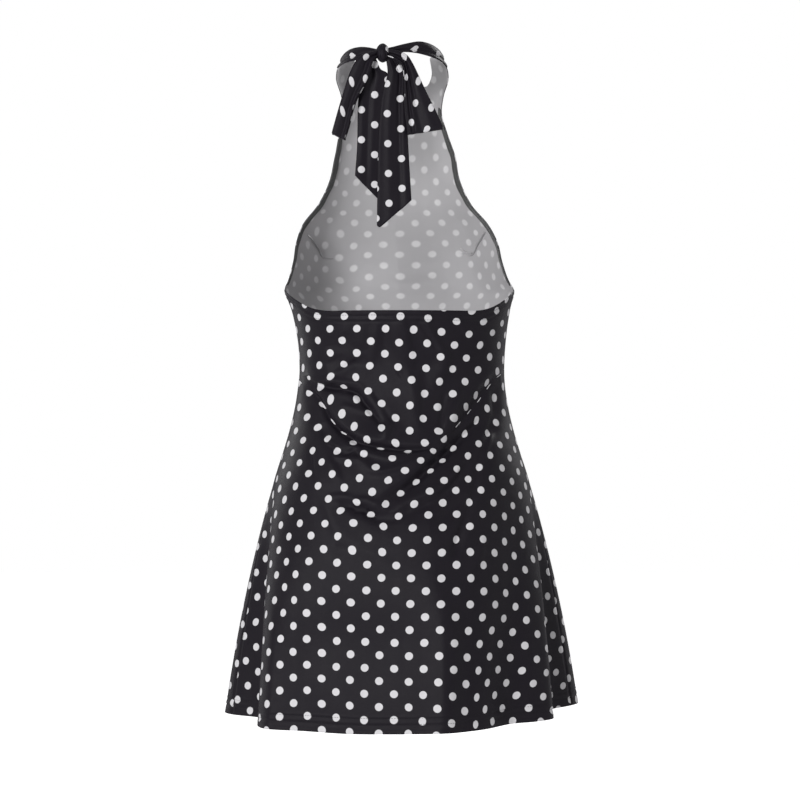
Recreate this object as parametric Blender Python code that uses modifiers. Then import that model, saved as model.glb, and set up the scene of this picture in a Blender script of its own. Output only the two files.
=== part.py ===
"""Halter mini dress with an open back, tied in a bow at the nape, as a hollow shell of cut cloth pieces.

Units are metres and +Z is up. The wearer faces -Y and the wearer's left is +X. The origin is the centre
of the neck loop, where the wearer's neck holds the dress. Every piece is a thin wall, and neighbouring
pieces stand a seam gap apart.
"""

import bmesh
import bpy
import numpy as np

FORWARD = (0, -1, 0)
BACKWARD = (0, 1, 0)

# Cloth
WALL = 0.0012  # wall of the dress panels
TIE_WALL = 0.0016  # the neck tie is sewn double
SEAM_GAP = 0.0003  # between neighbouring pieces

# Heights
TIE_SEAM_TOP = 0.009  # where the neckline meets the neck tie
TIE_SEAM_FOOT = -0.010  # where the armhole meets the neck tie
NECKLINE = -0.026  # lowest point of the front neckline
YOKE = -0.080  # from here down the front panel runs in level rows
UNDERARM = -0.299  # top of the side seams
BACK_TOP = -0.3295  # middle of the back panel's top edge
BACK_YOKE = -0.349  # from here down the back panel runs in level rows
HIP = -0.546  # the flutes of the skirt start here
HEM = -0.8465

HEM_TILT = 0.025  # the hem is this much lower for each metre towards the wearer's left
HEM_CURVE = 0.067  # and this much higher for each square metre out to either side
SKIRT_EASE = 0.34  # over 0, the flare of the skirt opens sooner than along a straight line
# Shares of half a panel's width, from its middle
NECKLINE_FLAT_SHARE = 0.48  # the front neckline is level to here
NECKLINE_SIDE_SHARE = 0.66  # and has risen to the height of the neck tie here
TIE_SEAM_SHARE = 0.86  # the seam to the neck tie starts here
BACK_FLAT_SHARE = 0.42  # the back panel's top edge is level to here

SECTION_POWER = 2.4  # over 2, a section is squarer than an ellipse
SIDE_ROUND = 0.5  # exponent of a section that turns fully round at the side seam

# Bust shaping that the darts give
BUST_APEX_X = 0.088
BUST_APEX_Z = -0.262
BUST_SPREAD = 0.046
BUST_RISE = 0.018

# Share of a half panel's width that falls straight. The rest, at the side seam, fans into flutes.
STRAIGHT_SHARE = 0.885
EDGE_SHARE = 0.997

# Level sections of the front panel, from its armhole edges (above the underarm) or side seams (below).
# Columns: height, half width, y of the edge, y of the middle, x of the middle, roundness exponent.
FRONT_SECTIONS = (
    (0.008, 0.061, -0.004, -0.052, 0.000, 0.55),
    (-0.010, 0.0715, -0.004, -0.058, 0.000, 0.55),
    (-0.022, 0.0735, -0.010, -0.062, 0.000, 0.58),
    (-0.043, 0.0675, -0.022, -0.066, 0.000, 0.62),
    (-0.062, 0.065, -0.031, -0.072, 0.000, 0.68),
    (-0.090, 0.072, -0.044, -0.082, -0.001, 0.76),
    (-0.120, 0.0805, -0.054, -0.092, -0.0035, 0.84),
    (-0.150, 0.087, -0.061, -0.102, -0.003, 0.88),
    (-0.182, 0.1025, -0.063, -0.112, -0.003, 0.86),
    (-0.208, 0.123, -0.057, -0.120, -0.004, 0.80),
    (-0.234, 0.1335, -0.044, -0.127, -0.006, 0.72),
    (-0.260, 0.1375, -0.028, -0.130, -0.007, 0.64),
    (-0.286, 0.144, -0.010, -0.129, -0.008, 0.55),
    (-0.299, 0.149, 0.000, -0.123, -0.009, SIDE_ROUND),
    (-0.325, 0.142, 0.000, -0.115, -0.011, SIDE_ROUND),
    (-0.351, 0.137, 0.000, -0.106, -0.012, SIDE_ROUND),
    (-0.377, 0.134, 0.000, -0.098, -0.0125, SIDE_ROUND),
    (-0.403, 0.133, 0.000, -0.095, -0.0125, SIDE_ROUND),
    (-0.429, 0.135, 0.000, -0.096, -0.012, SIDE_ROUND),
    (-0.468, 0.142, 0.000, -0.102, -0.012, SIDE_ROUND),
    (-0.507, 0.153, 0.000, -0.112, -0.012, SIDE_ROUND),
    (-0.546, 0.166, 0.000, -0.120, -0.012, SIDE_ROUND),
)

# y of the middle of the back panel at each height. Its sides are the front panel's side seams.
# Columns: height, y of the middle.
BACK_MIDDLE = (
    (-0.299, 0.093),
    (-0.329, 0.095),
    (-0.351, 0.090),
    (-0.377, 0.081),
    (-0.403, 0.076),
    (-0.429, 0.079),
    (-0.468, 0.093),
    (-0.507, 0.110),
    (-0.546, 0.122),
)

# Plan of the hem from the middle of the back round to the middle of the front.
# Columns: x out from the middle and y on the wearer's left, then the same on the wearer's right.
HEM_PLAN = (
    (0.000, 0.176, 0.000, 0.176),  # middle of the back
    (0.062, 0.166, 0.060, 0.177),
    (0.120, 0.140, 0.100, 0.161),
    (0.152, 0.130, 0.134, 0.130),  # soft trough on the right
    (0.168, 0.122, 0.165, 0.122),
    (0.177, 0.108, 0.187, 0.108),  # edge of the back flute
    (0.180, 0.088, 0.188, 0.090),
    (0.172, 0.066, 0.178, 0.068),
    (0.173, 0.046, 0.178, 0.048),  # valley between the flutes
    (0.190, 0.030, 0.193, 0.032),
    (0.219, 0.012, 0.219, 0.012),  # side seam
    (0.230, -0.010, 0.230, -0.008),  # side flute
    (0.216, -0.032, 0.218, -0.030),
    (0.188, -0.046, 0.192, -0.042),
    (0.176, -0.064, 0.180, -0.060),  # valley between the flutes
    (0.183, -0.088, 0.189, -0.084),
    (0.178, -0.114, 0.182, -0.112),  # edge of the front flute
    (0.146, -0.146, 0.150, -0.142),
    (0.104, -0.160, 0.100, -0.164),
    (0.054, -0.178, 0.052, -0.174),
    (0.000, -0.180, 0.000, -0.180),  # middle of the front
)
HEM_SEAM_ROW = 10

# Route of the neck tie round the back of the neck, from its seam to the knot.
# Columns: x, y and z of the top edge, then x, y and z of the foot.
TIE_RIGHT = (
    (-0.062, 0.020, 0.008, -0.0710, 0.020, -0.011),
    (-0.052, 0.038, 0.013, -0.0610, 0.041, -0.007),
    (-0.036, 0.051, 0.015, -0.0410, 0.056, -0.003),
    (-0.018, 0.059, 0.011, -0.0210, 0.063, -0.001),
    (0.0045, 0.0655, 0.004, 0.0045, 0.0662, -0.002),
)
TIE_LEFT = (
    (0.063, 0.018, 0.004, 0.0715, 0.018, -0.013),
    (0.055, 0.038, 0.007, 0.0620, 0.040, -0.011),
    (0.043, 0.050, 0.008, 0.0480, 0.054, -0.010),
    (0.031, 0.059, 0.006, 0.0320, 0.062, -0.008),
    (0.0175, 0.0655, 0.002, 0.0175, 0.0662, -0.006),
)

# Knot of the bow
KNOT_CENTRE = (0.011, 0.074, -0.0045)
KNOT_SIZE = (0.019, 0.020, 0.0226)

# Hanging loops of the bow. Each is a strip that runs down, folds and comes back up nearer the body.
# Columns: x and z of the outer edge, x and z of the inner edge, y of the outer layer, room inside.
LOOP_LEFT = (
    (0.0209, -0.0010, 0.0206, -0.0090, 0.0785, 0.0034),
    (0.0400, -0.0090, 0.0240, -0.0170, 0.0825, 0.0045),
    (0.0530, -0.0300, 0.0296, -0.0360, 0.0840, 0.0065),
    (0.0642, -0.0650, 0.0453, -0.0660, 0.0840, 0.0070),
    (0.0735, -0.0970, 0.0545, -0.0990, 0.0825, 0.0070),
    (0.0755, -0.1045, 0.0590, -0.1120, 0.0815, 0.0065),
)
LOOP_RIGHT = (
    (0.0011, 0.0010, 0.0014, -0.0090, 0.0785, 0.0034),
    (-0.0150, -0.0055, -0.0055, -0.0145, 0.0830, 0.0045),
    (-0.0255, -0.0180, -0.0140, -0.0240, 0.0850, 0.0065),
    (-0.0408, -0.0500, -0.0155, -0.0520, 0.0860, 0.0080),
    (-0.0527, -0.0740, -0.0165, -0.0780, 0.0855, 0.0080),
    (-0.0640, -0.0980, -0.0200, -0.1050, 0.0840, 0.0075),
)

# Tails of the bow, each a flat strip with a slanted end.
# Columns: x and z of the outer edge, x and z of the inner edge, y.
TAIL_LEFT = (
    (0.0220, -0.0135, 0.0128, -0.0161, 0.0728),
    (0.0380, -0.0330, 0.0060, -0.0330, 0.0720),
    (0.0430, -0.0650, 0.0090, -0.0650, 0.0715),
    (0.0442, -0.1200, 0.0130, -0.1200, 0.0725),
    (0.0468, -0.1590, 0.0135, -0.1930, 0.0765),
)
TAIL_RIGHT = (
    (0.0030, -0.0141, 0.0095, -0.0160, 0.0748),
    (-0.0150, -0.0330, 0.0083, -0.0330, 0.0752),
    (-0.0176, -0.0650, 0.0102, -0.0650, 0.0752),
    (-0.0200, -0.1200, 0.0155, -0.1250, 0.0755),
    (-0.0245, -0.1910, 0.0185, -0.2230, 0.0840),
)

# Armhole bindings
BINDING_WALL = 0.001
BINDING_GAP = 0.0005
BINDING_ROWS = (0.75, 1.45)  # rows of the front panel that they run along
BINDING_COLUMNS = 6  # columns of the front panel that they cover

# Colours
CLOTH_BLACK = (0.016, 0.015, 0.018)
BINDING_GREY = (0.035, 0.035, 0.036)


LINE_STEPS = 8


def table_value(table, position):
    """A row of the table at this position of its first column, joined by smooth curves that don't overshoot."""
    rows = np.array(sorted(table))
    at, values = rows[:, 0], rows[:, 1:]
    position = float(np.clip(position, at[0], at[-1]))
    index = int(np.clip(np.searchsorted(at, position) - 1, 0, len(at) - 2))
    steps = np.diff(at)[:, None]
    rises = np.diff(values, axis=0) / steps
    slopes = np.vstack([rises[:1], (rises[:-1] + rises[1:]) / 2, rises[-1:]])
    slopes[1:-1][rises[:-1] * rises[1:] <= 0] = 0
    step = steps[index, 0]
    part = (position - at[index]) / step
    square, cube = part * part, part * part * part
    return (
        (2 * cube - 3 * square + 1) * values[index]
        + (cube - 2 * square + part) * step * slopes[index]
        + (3 * square - 2 * cube) * values[index + 1]
        + (cube - square) * step * slopes[index + 1]
    )


def smooth_step(low, high, value):
    part = float(np.clip((value - low) / (high - low), 0, 1))
    return part * part * (3 - 2 * part)


def at_share(points, share, held_back=0.0):
    """The point at this share of a line's length, held back from the line's end."""
    lengths = np.concatenate([[0], np.cumsum(np.linalg.norm(np.diff(points, axis=0), axis=1))])
    place = min(share * lengths[-1], lengths[-1] - held_back)
    return np.array([np.interp(place, lengths, points[:, axis]) for axis in range(points.shape[1])])


def rounded_line(points):
    """A smooth curve through the points (Catmull-Rom), in LINE_STEPS steps from each point to the next."""
    points = np.asarray(points, float)
    ends = np.vstack([2 * points[0] - points[1], points, 2 * points[-1] - points[-2]])
    line = [points[0]]
    for before, start, stop, after in zip(ends, ends[1:], ends[2:], ends[3:]):
        for part in np.arange(1, LINE_STEPS + 1) / LINE_STEPS:
            line.append(
                (
                    2 * start
                    + (stop - before) * part
                    + (2 * before - 5 * start + 4 * stop - after) * part**2
                    + (3 * start - before - 3 * stop + after) * part**3
                )
                / 2
            )
    return np.array(line)


def bust_rise(out, height):
    """How far the bust darts let the front panel stand forward."""
    sideways = (abs(out) - BUST_APEX_X) / BUST_SPREAD
    upright = (height - BUST_APEX_Z) / BUST_SPREAD
    return BUST_RISE * np.exp(-(sideways**2 + upright**2) / 2)


def section_line(half_width, edge_y, middle_y, roundness):
    """Half of a level section, from its middle (x = 0) to its edge."""
    angles = np.linspace(0, np.pi / 2, 48)
    out = half_width * np.sin(angles)
    share = np.clip(1 - (out / half_width) ** SECTION_POWER, 0, 1) ** roundness
    return np.column_stack([out, edge_y + (middle_y - edge_y) * share])


def body_point(panel, share, height):
    """(x, y) of a panel above the hip: share runs from -1 at the wearer's right edge to 1 at the left."""
    half_width, edge_y, middle_y, middle_x, roundness = table_value(FRONT_SECTIONS, height)
    if panel == "back":
        middle_y = table_value(BACK_MIDDLE, height)[0]
    out, y = at_share(section_line(half_width, edge_y, middle_y, roundness), abs(share), SEAM_GAP / 2)
    if panel == "front":
        y -= bust_rise(out, height)
    return np.array([middle_x + np.sign(share) * out, y])


def hem_lines():
    """Plan of the hem as {(panel, side): line from the middle to the side seam}."""
    lines = {}
    plan = np.array(HEM_PLAN)
    for side, columns in ((1, (0, 1)), (-1, (2, 3))):
        line = rounded_line(plan[:, columns])
        seam = HEM_SEAM_ROW * LINE_STEPS
        lines["back", side] = line[: seam + 1]
        lines["front", side] = line[seam:][::-1]
    return lines


HEM_LINES = hem_lines()
STRAIGHT_HEM = 0.205  # length of hem, from the middle, that falls straight


def hem_point(panel, share):
    side = -1 if share < 0 else 1
    line = HEM_LINES[panel, side]
    length = np.linalg.norm(np.diff(line, axis=0), axis=1).sum()
    straight = STRAIGHT_HEM / length
    place = np.interp(abs(share), [0, STRAIGHT_SHARE, 1], [0, straight, 1])
    out, y = at_share(line, place, SEAM_GAP / 2)
    middle_x = FRONT_SECTIONS[-1][4]
    return np.array([middle_x + side * out, y])


def skirt_point(panel, share, drop):
    """A point of the skirt: drop runs from 0 at the hip to 1 at the hem."""
    eased = drop + SKIRT_EASE * drop * (1 - drop)
    x, y = (1 - eased) * body_point(panel, share, HIP) + eased * hem_point(panel, share)
    z = HIP + drop * (HEM - HIP - HEM_TILT * x + HEM_CURVE * x * x)
    return np.array([x, y, z])


def neckline_height(share):
    """Height of the front panel's top edge: the neckline, then the seam to the neck tie."""
    out = abs(share)
    if out > TIE_SEAM_SHARE:
        return np.interp(out, [TIE_SEAM_SHARE, 1], [TIE_SEAM_TOP, TIE_SEAM_FOOT])
    return NECKLINE + (TIE_SEAM_TOP - NECKLINE) * smooth_step(NECKLINE_FLAT_SHARE, NECKLINE_SIDE_SHARE, out)


def back_top_height(share):
    """Height of the back panel's top edge, which rises to the side seams."""
    return BACK_TOP + (UNDERARM - BACK_TOP) * smooth_step(BACK_FLAT_SHARE, 1.0, abs(share))


def panel_point(panel, share, row):
    """A point of a panel. row runs from 0 at the top edge to 1 at the yoke, 2 at the hip and 3 at the hem."""
    if row > 2:
        return skirt_point(panel, share, row - 2)
    top = neckline_height(share) if panel == "front" else back_top_height(share)
    yoke = YOKE if panel == "front" else BACK_YOKE
    height = top + row * (yoke - top) if row < 1 else yoke + (row - 1) * (HIP - yoke)
    return np.array([*body_point(panel, share, height), height])


def panel_rows(top_rows, body_rows, skirt_rows):
    """Rows of a panel's grid from its top edge (0) to the yoke (1), the hip (2) and the hem (3)."""
    top = np.arange(top_rows) / top_rows
    body = 1 + np.arange(body_rows) / body_rows
    return np.concatenate([top, body, np.linspace(2, 3, skirt_rows + 1)])


def panel_columns(straight_columns, fan_columns):
    """Shares of a panel's width from edge (-1) to edge (1), closer together in the flutes.

    A narrow column along each edge keeps the wall there square to the seam.
    """
    straight = STRAIGHT_SHARE * np.arange(straight_columns) / straight_columns
    fan = np.linspace(STRAIGHT_SHARE, 1, fan_columns + 1)
    half = np.concatenate([straight, fan[:-1], [EDGE_SHARE, 1]])
    return np.concatenate([-half[:0:-1], half])


PANEL_COLUMNS = panel_columns(8, 7)
FRONT_ROWS = panel_rows(5, 16, 7)
BACK_ROWS = panel_rows(2, 9, 7)


def sheet(name, columns, rows, point, outside, wall, material):
    """A wall of cloth: a grid whose corners are placed by point(column, row), thickened on its inner side.

    outside is the way that the middle of the sheet faces.
    """
    mesh = bpy.data.meshes.new(name)
    grid = bmesh.new()
    bmesh.ops.create_grid(grid, x_segments=len(columns) - 1, y_segments=len(rows) - 1, size=0.5)
    grid.verts.ensure_lookup_table()
    for corner in grid.verts:
        column = columns[round((corner.co.x + 0.5) * (len(columns) - 1))]
        row = rows[round((corner.co.y + 0.5) * (len(rows) - 1))]
        corner.co = point(column, row)
    grid.faces.ensure_lookup_table()
    grid.normal_update()
    middle = grid.faces[len(grid.faces) // 2 + (len(columns) - 1) // 2]
    if middle.normal.dot(outside) < 0:
        bmesh.ops.reverse_faces(grid, faces=grid.faces)
    grid.to_mesh(mesh)
    grid.free()
    mesh.shade_smooth()
    mesh.materials.append(material)
    piece = bpy.data.objects.new(name, mesh)
    solid = piece.modifiers.new("wall", "SOLIDIFY")
    solid.thickness = wall
    solid.offset = -1.0
    solid.use_even_offset = True
    PARTS.objects.link(piece)
    return piece


def dress_panel(panel, rows, outside, material):
    def point(share, row):
        return panel_point(panel, share, row)

    return sheet(f"{panel}_panel", PANEL_COLUMNS, rows, point, outside, WALL, material)


def armhole_bindings(panel, material):
    """Strips inside the front panel along its armholes, made from the panel's own corners moved in."""
    corners = np.array([corner.co for corner in panel.data.vertices]).reshape(len(FRONT_ROWS), -1, 3)
    normals = np.array([corner.normal for corner in panel.data.vertices]).reshape(corners.shape)
    inside = corners - normals * (WALL + BINDING_GAP)
    armhole = np.flatnonzero((FRONT_ROWS > BINDING_ROWS[0]) & (FRONT_ROWS < BINDING_ROWS[1]))
    strip = np.arange(1, BINDING_COLUMNS)
    for side, label in ((1, "left"), (-1, "right")):
        columns = inside.shape[1] - 1 - strip if side > 0 else strip
        outside = (side, -1, 0)
        name = f"armhole_binding_{label}"
        sheet(name, columns, armhole, lambda column, row: inside[row, column], outside, BINDING_WALL, material)


def neck_ties(material):
    """The stretches of the neck tie from the front panel round to the knot."""
    seam_shares = np.linspace(TIE_SEAM_SHARE, 1, 5)
    off_seam = np.array([0, 2 * SEAM_GAP, 2 * SEAM_GAP])
    for table, side, label in ((TIE_LEFT, 1, "left"), (TIE_RIGHT, -1, "right")):
        seam = []
        for share in seam_shares:
            height = neckline_height(share)
            seam.append(np.array([*body_point("front", side * share, height), height]) + off_seam)
        route = rounded_line(np.vstack([np.concatenate([seam[0], seam[-1]]), np.array(table)]))

        def point(across, along, seam=seam, route=route):
            """across counts the columns from the top edge (0) to the foot."""
            here = at_share(route, along)
            straight = across / (len(seam) - 1)
            on_seam = seam[across] - seam[0] - straight * (seam[-1] - seam[0])
            near_seam = max(0.0, 1 - 6 * along)
            return here[:3] + straight * (here[3:] - here[:3]) + near_seam * on_seam

        rows = np.linspace(0, 1, 17)
        sheet(f"neck_tie_{label}", range(len(seam)), rows, point, (side, 1, 0), TIE_WALL, material)


def bow_knot(material):
    mesh = bpy.data.meshes.new("bow_knot")
    knot = bmesh.new()
    bmesh.ops.create_uvsphere(knot, u_segments=20, v_segments=12, radius=0.5)
    bmesh.ops.scale(knot, vec=KNOT_SIZE, verts=knot.verts)
    knot.to_mesh(mesh)
    knot.free()
    mesh.shade_smooth()
    mesh.materials.append(material)
    piece = bpy.data.objects.new("bow_knot", mesh)
    piece.location = KNOT_CENTRE
    PARTS.objects.link(piece)


def bow_loops(material):
    """Hanging loops: one strip each, down the outer layer, round the fold and up the inner layer."""
    for table, label in ((LOOP_LEFT, "left"), (LOOP_RIGHT, "right")):
        route = rounded_line(table)

        def point(across, along, route=route):
            """along runs from 0 at the knot to 1 above the fold, and from 2 below it to 3 at the knot."""
            outer_x, outer_z, inner_x, inner_z, y, room = at_share(route, min(along, 1.0, 3 - along))
            height = outer_z + across * (inner_z - outer_z)
            if along >= 2:
                y -= room
            elif along > 1:
                angle = np.pi * (along - 1)
                y -= room / 2 * (1 - np.cos(angle))
                height -= room / 2 * np.sin(angle)
            return np.array([outer_x + across * (inner_x - outer_x), y, height])

        down = np.linspace(0, 1, 10)
        turn = np.linspace(1, 2, 7)[1:-1]
        rows = np.concatenate([down, turn, 2 + down])
        across = np.linspace(0, 1, 5)
        sheet(f"bow_loop_{label}", across, rows, point, (0, 0, -1), WALL, material)


def bow_tails(material):
    for table, label in ((TAIL_LEFT, "left"), (TAIL_RIGHT, "right")):
        route = rounded_line(table)

        def point(across, along, route=route):
            outer_x, outer_z, inner_x, inner_z, y = at_share(route, along)
            return np.array([outer_x + across * (inner_x - outer_x), y, outer_z + across * (inner_z - outer_z)])

        rows = np.linspace(0, 1, 17)
        across = np.linspace(0, 1, 6)
        sheet(f"bow_tail_{label}", across, rows, point, BACKWARD, TIE_WALL, material)


def cloth_material(name, colour, roughness):
    material = bpy.data.materials.new(name)
    material.use_nodes = True
    shader = material.node_tree.nodes["Principled BSDF"]
    shader.inputs["Base Color"].default_value = (*colour, 1)
    shader.inputs["Roughness"].default_value = roughness
    shader.inputs["Metallic"].default_value = 0
    return material


for stale in list(bpy.data.objects):
    bpy.data.objects.remove(stale)
PARTS = bpy.data.collections.new("halter_mini_dress")
bpy.context.scene.collection.children.link(PARTS)
BLACK_KNIT = cloth_material("black_knit", CLOTH_BLACK, 0.6)
GREY_TRIM = cloth_material("armhole_trim", BINDING_GREY, 0.8)

dress_panel("back", BACK_ROWS, BACKWARD, BLACK_KNIT)
FRONT_PANEL = dress_panel("front", FRONT_ROWS, FORWARD, BLACK_KNIT)
armhole_bindings(FRONT_PANEL, GREY_TRIM)
neck_ties(BLACK_KNIT)
bow_knot(BLACK_KNIT)
bow_loops(BLACK_KNIT)
bow_tails(BLACK_KNIT)
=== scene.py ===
"""Looks of the halter mini dress with an open back, seen from behind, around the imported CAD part.

Units are metres and +Z is up. The wearer faces -Y, the wearer's left is +X and the origin is the centre of
the neck loop. Each cloth piece of the CAD part is stood for by a thin shell of cut cloth on the same form,
with its creases, hems, stitches and print. A point of a panel has a share of its width, from -1 at the
wearer's right edge to 1 at the left, and a row, from 0 at its top edge to 1 at its yoke, 2 at the hip and
3 at the hem, as in the CAD part. Print coordinates are distances on the flat cloth.
"""

import bmesh
import bpy
import numpy as np
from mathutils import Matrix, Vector


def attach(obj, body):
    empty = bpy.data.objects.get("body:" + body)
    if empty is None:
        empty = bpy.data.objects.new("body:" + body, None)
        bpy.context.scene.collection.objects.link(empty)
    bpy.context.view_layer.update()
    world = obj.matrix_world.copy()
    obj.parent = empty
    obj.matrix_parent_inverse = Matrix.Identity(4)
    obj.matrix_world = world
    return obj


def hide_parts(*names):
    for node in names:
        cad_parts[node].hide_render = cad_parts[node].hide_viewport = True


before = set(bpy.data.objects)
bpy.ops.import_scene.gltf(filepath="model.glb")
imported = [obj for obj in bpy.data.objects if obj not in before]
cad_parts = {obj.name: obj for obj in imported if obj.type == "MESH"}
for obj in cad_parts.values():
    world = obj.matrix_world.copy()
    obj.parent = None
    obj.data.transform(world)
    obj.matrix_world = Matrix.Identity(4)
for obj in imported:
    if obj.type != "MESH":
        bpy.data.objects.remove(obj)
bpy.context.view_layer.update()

# Cloth
WALL = 0.0009  # knit of the panels
TIE_WALL = 0.0014  # the neck tie is sewn double
SEAM_GAP = 0.0001  # between the panels at a side seam
TIE_GAP = 0.0006  # how far behind and above its seam with the front the neck tie starts

# Heights
TIE_SEAM_TOP = 0.009  # the seam of the front and the neck tie, from its inner end
TIE_SEAM_FOOT = -0.010  # to the armhole
NECKLINE = -0.026
YOKE = -0.080  # the front's rows are level from here down
UNDERARM = -0.299
BACK_TOP = -0.3295
BACK_YOKE = -0.349  # the back's rows are level from here down
HIP = -0.546
HEM = -0.8465
FLOOR = -1.38  # the neck loop of a standing wearer is this far up
FLOOR_REACH = 8

HEM_TILT = 0.025  # the hem is this much lower for each metre towards the wearer's left
HEM_CURVE = 0.067  # and this much higher for each square metre out to either side
SKIRT_EASE = 0.34  # how much faster the skirt takes on the hem's outline below the hip
HIP_BEND = 0.16  # rows above and below the hip over which the bend there is rounded
HIP_ROUNDS = 60

# Shares of a panel's half width
NECKLINE_FLAT_SHARE = 0.48  # the neckline is level out to here
NECKLINE_SIDE_SHARE = 0.66  # and has risen to the tie's seam here
TIE_SEAM_SHARE = 0.86  # the neck tie is sewn on from here out
BACK_FLAT_SHARE = 0.42  # the back's top edge is level out to here
STRAIGHT_SHARE = 0.885  # columns run straight down the skirt out to here, and fan out beyond
BUST_FADE = (0.72, 0.99)  # the bust's rise dies out between these

BACK_TOP_CURVE = 1.7  # power of the rise of the back's top edge
STRAIGHT_HEM = 0.205  # the straight columns take this length of half the hem

SECTION_POWER = 2.4  # power of the share of the half width in a level section
SIDE_ROUND = 0.5  # roundness exponent at which front and back run into each other at the side seam
BUST_APEX_X = 0.088
BUST_APEX_Z = -0.262
BUST_SPREAD = 0.046
BUST_RISE = 0.018

# Level sections of the front panel.
# Columns: height, half width, y of the edge, y of the middle, x of the middle, roundness exponent.
FRONT_SECTIONS = (
    (0.008, 0.061, -0.004, -0.052, 0.000, 0.55),
    (-0.010, 0.0715, -0.004, -0.058, 0.000, 0.55),
    (-0.022, 0.0735, -0.010, -0.062, 0.000, 0.58),
    (-0.043, 0.0675, -0.022, -0.066, 0.000, 0.62),
    (-0.062, 0.065, -0.031, -0.072, 0.000, 0.68),
    (-0.090, 0.072, -0.044, -0.082, -0.001, 0.76),
    (-0.120, 0.0805, -0.054, -0.092, -0.0035, 0.84),
    (-0.150, 0.087, -0.061, -0.102, -0.003, 0.88),
    (-0.182, 0.1025, -0.063, -0.112, -0.003, 0.86),
    (-0.208, 0.123, -0.057, -0.120, -0.004, 0.80),
    (-0.234, 0.1335, -0.044, -0.127, -0.006, 0.72),
    (-0.260, 0.1375, -0.028, -0.130, -0.007, 0.64),
    (-0.286, 0.144, -0.010, -0.129, -0.008, 0.55),
    (-0.299, 0.149, 0.000, -0.123, -0.009, SIDE_ROUND),
    (-0.325, 0.142, 0.000, -0.115, -0.011, SIDE_ROUND),
    (-0.351, 0.137, 0.000, -0.106, -0.012, SIDE_ROUND),
    (-0.377, 0.134, 0.000, -0.098, -0.0125, SIDE_ROUND),
    (-0.403, 0.133, 0.000, -0.095, -0.0125, SIDE_ROUND),
    (-0.429, 0.135, 0.000, -0.096, -0.012, SIDE_ROUND),
    (-0.468, 0.142, 0.000, -0.102, -0.012, SIDE_ROUND),
    (-0.507, 0.153, 0.000, -0.112, -0.012, SIDE_ROUND),
    (-0.546, 0.166, 0.000, -0.120, -0.012, SIDE_ROUND),
)

# Middle of the back panel. Columns: height, y.
BACK_MIDDLE = (
    (-0.299, 0.0930),
    (-0.329, 0.0935),
    (-0.351, 0.0895),
    (-0.377, 0.0845),
    (-0.403, 0.0815),
    (-0.429, 0.0825),
    (-0.468, 0.0925),
    (-0.507, 0.1080),
    (-0.546, 0.1215),
)

# Plan of the hem from the middle of the back round to the middle of the front.
# Columns: x out from the middle and y on the wearer's left, then the same on the wearer's right.
HEM_PLAN = (
    (0.000, 0.176, 0.000, 0.176),  # middle of the back
    (0.062, 0.166, 0.060, 0.177),
    (0.120, 0.140, 0.100, 0.161),
    (0.152, 0.130, 0.134, 0.130),  # soft trough on the right
    (0.168, 0.122, 0.165, 0.122),
    (0.177, 0.108, 0.187, 0.108),  # edge of the back flute
    (0.180, 0.088, 0.188, 0.090),
    (0.172, 0.066, 0.178, 0.068),
    (0.173, 0.046, 0.178, 0.048),  # valley between the flutes
    (0.190, 0.030, 0.193, 0.032),
    (0.219, 0.012, 0.219, 0.012),  # side seam
    (0.230, -0.010, 0.230, -0.008),  # side flute
    (0.216, -0.032, 0.218, -0.030),
    (0.188, -0.046, 0.192, -0.042),
    (0.176, -0.064, 0.180, -0.060),  # valley between the flutes
    (0.183, -0.088, 0.189, -0.084),
    (0.178, -0.114, 0.182, -0.112),  # edge of the front flute
    (0.146, -0.146, 0.150, -0.142),
    (0.104, -0.160, 0.100, -0.164),
    (0.054, -0.178, 0.052, -0.174),
    (0.000, -0.180, 0.000, -0.180),  # middle of the front
)
HEM_SEAM_ROW = 10  # the plan's row at the side seam

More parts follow.
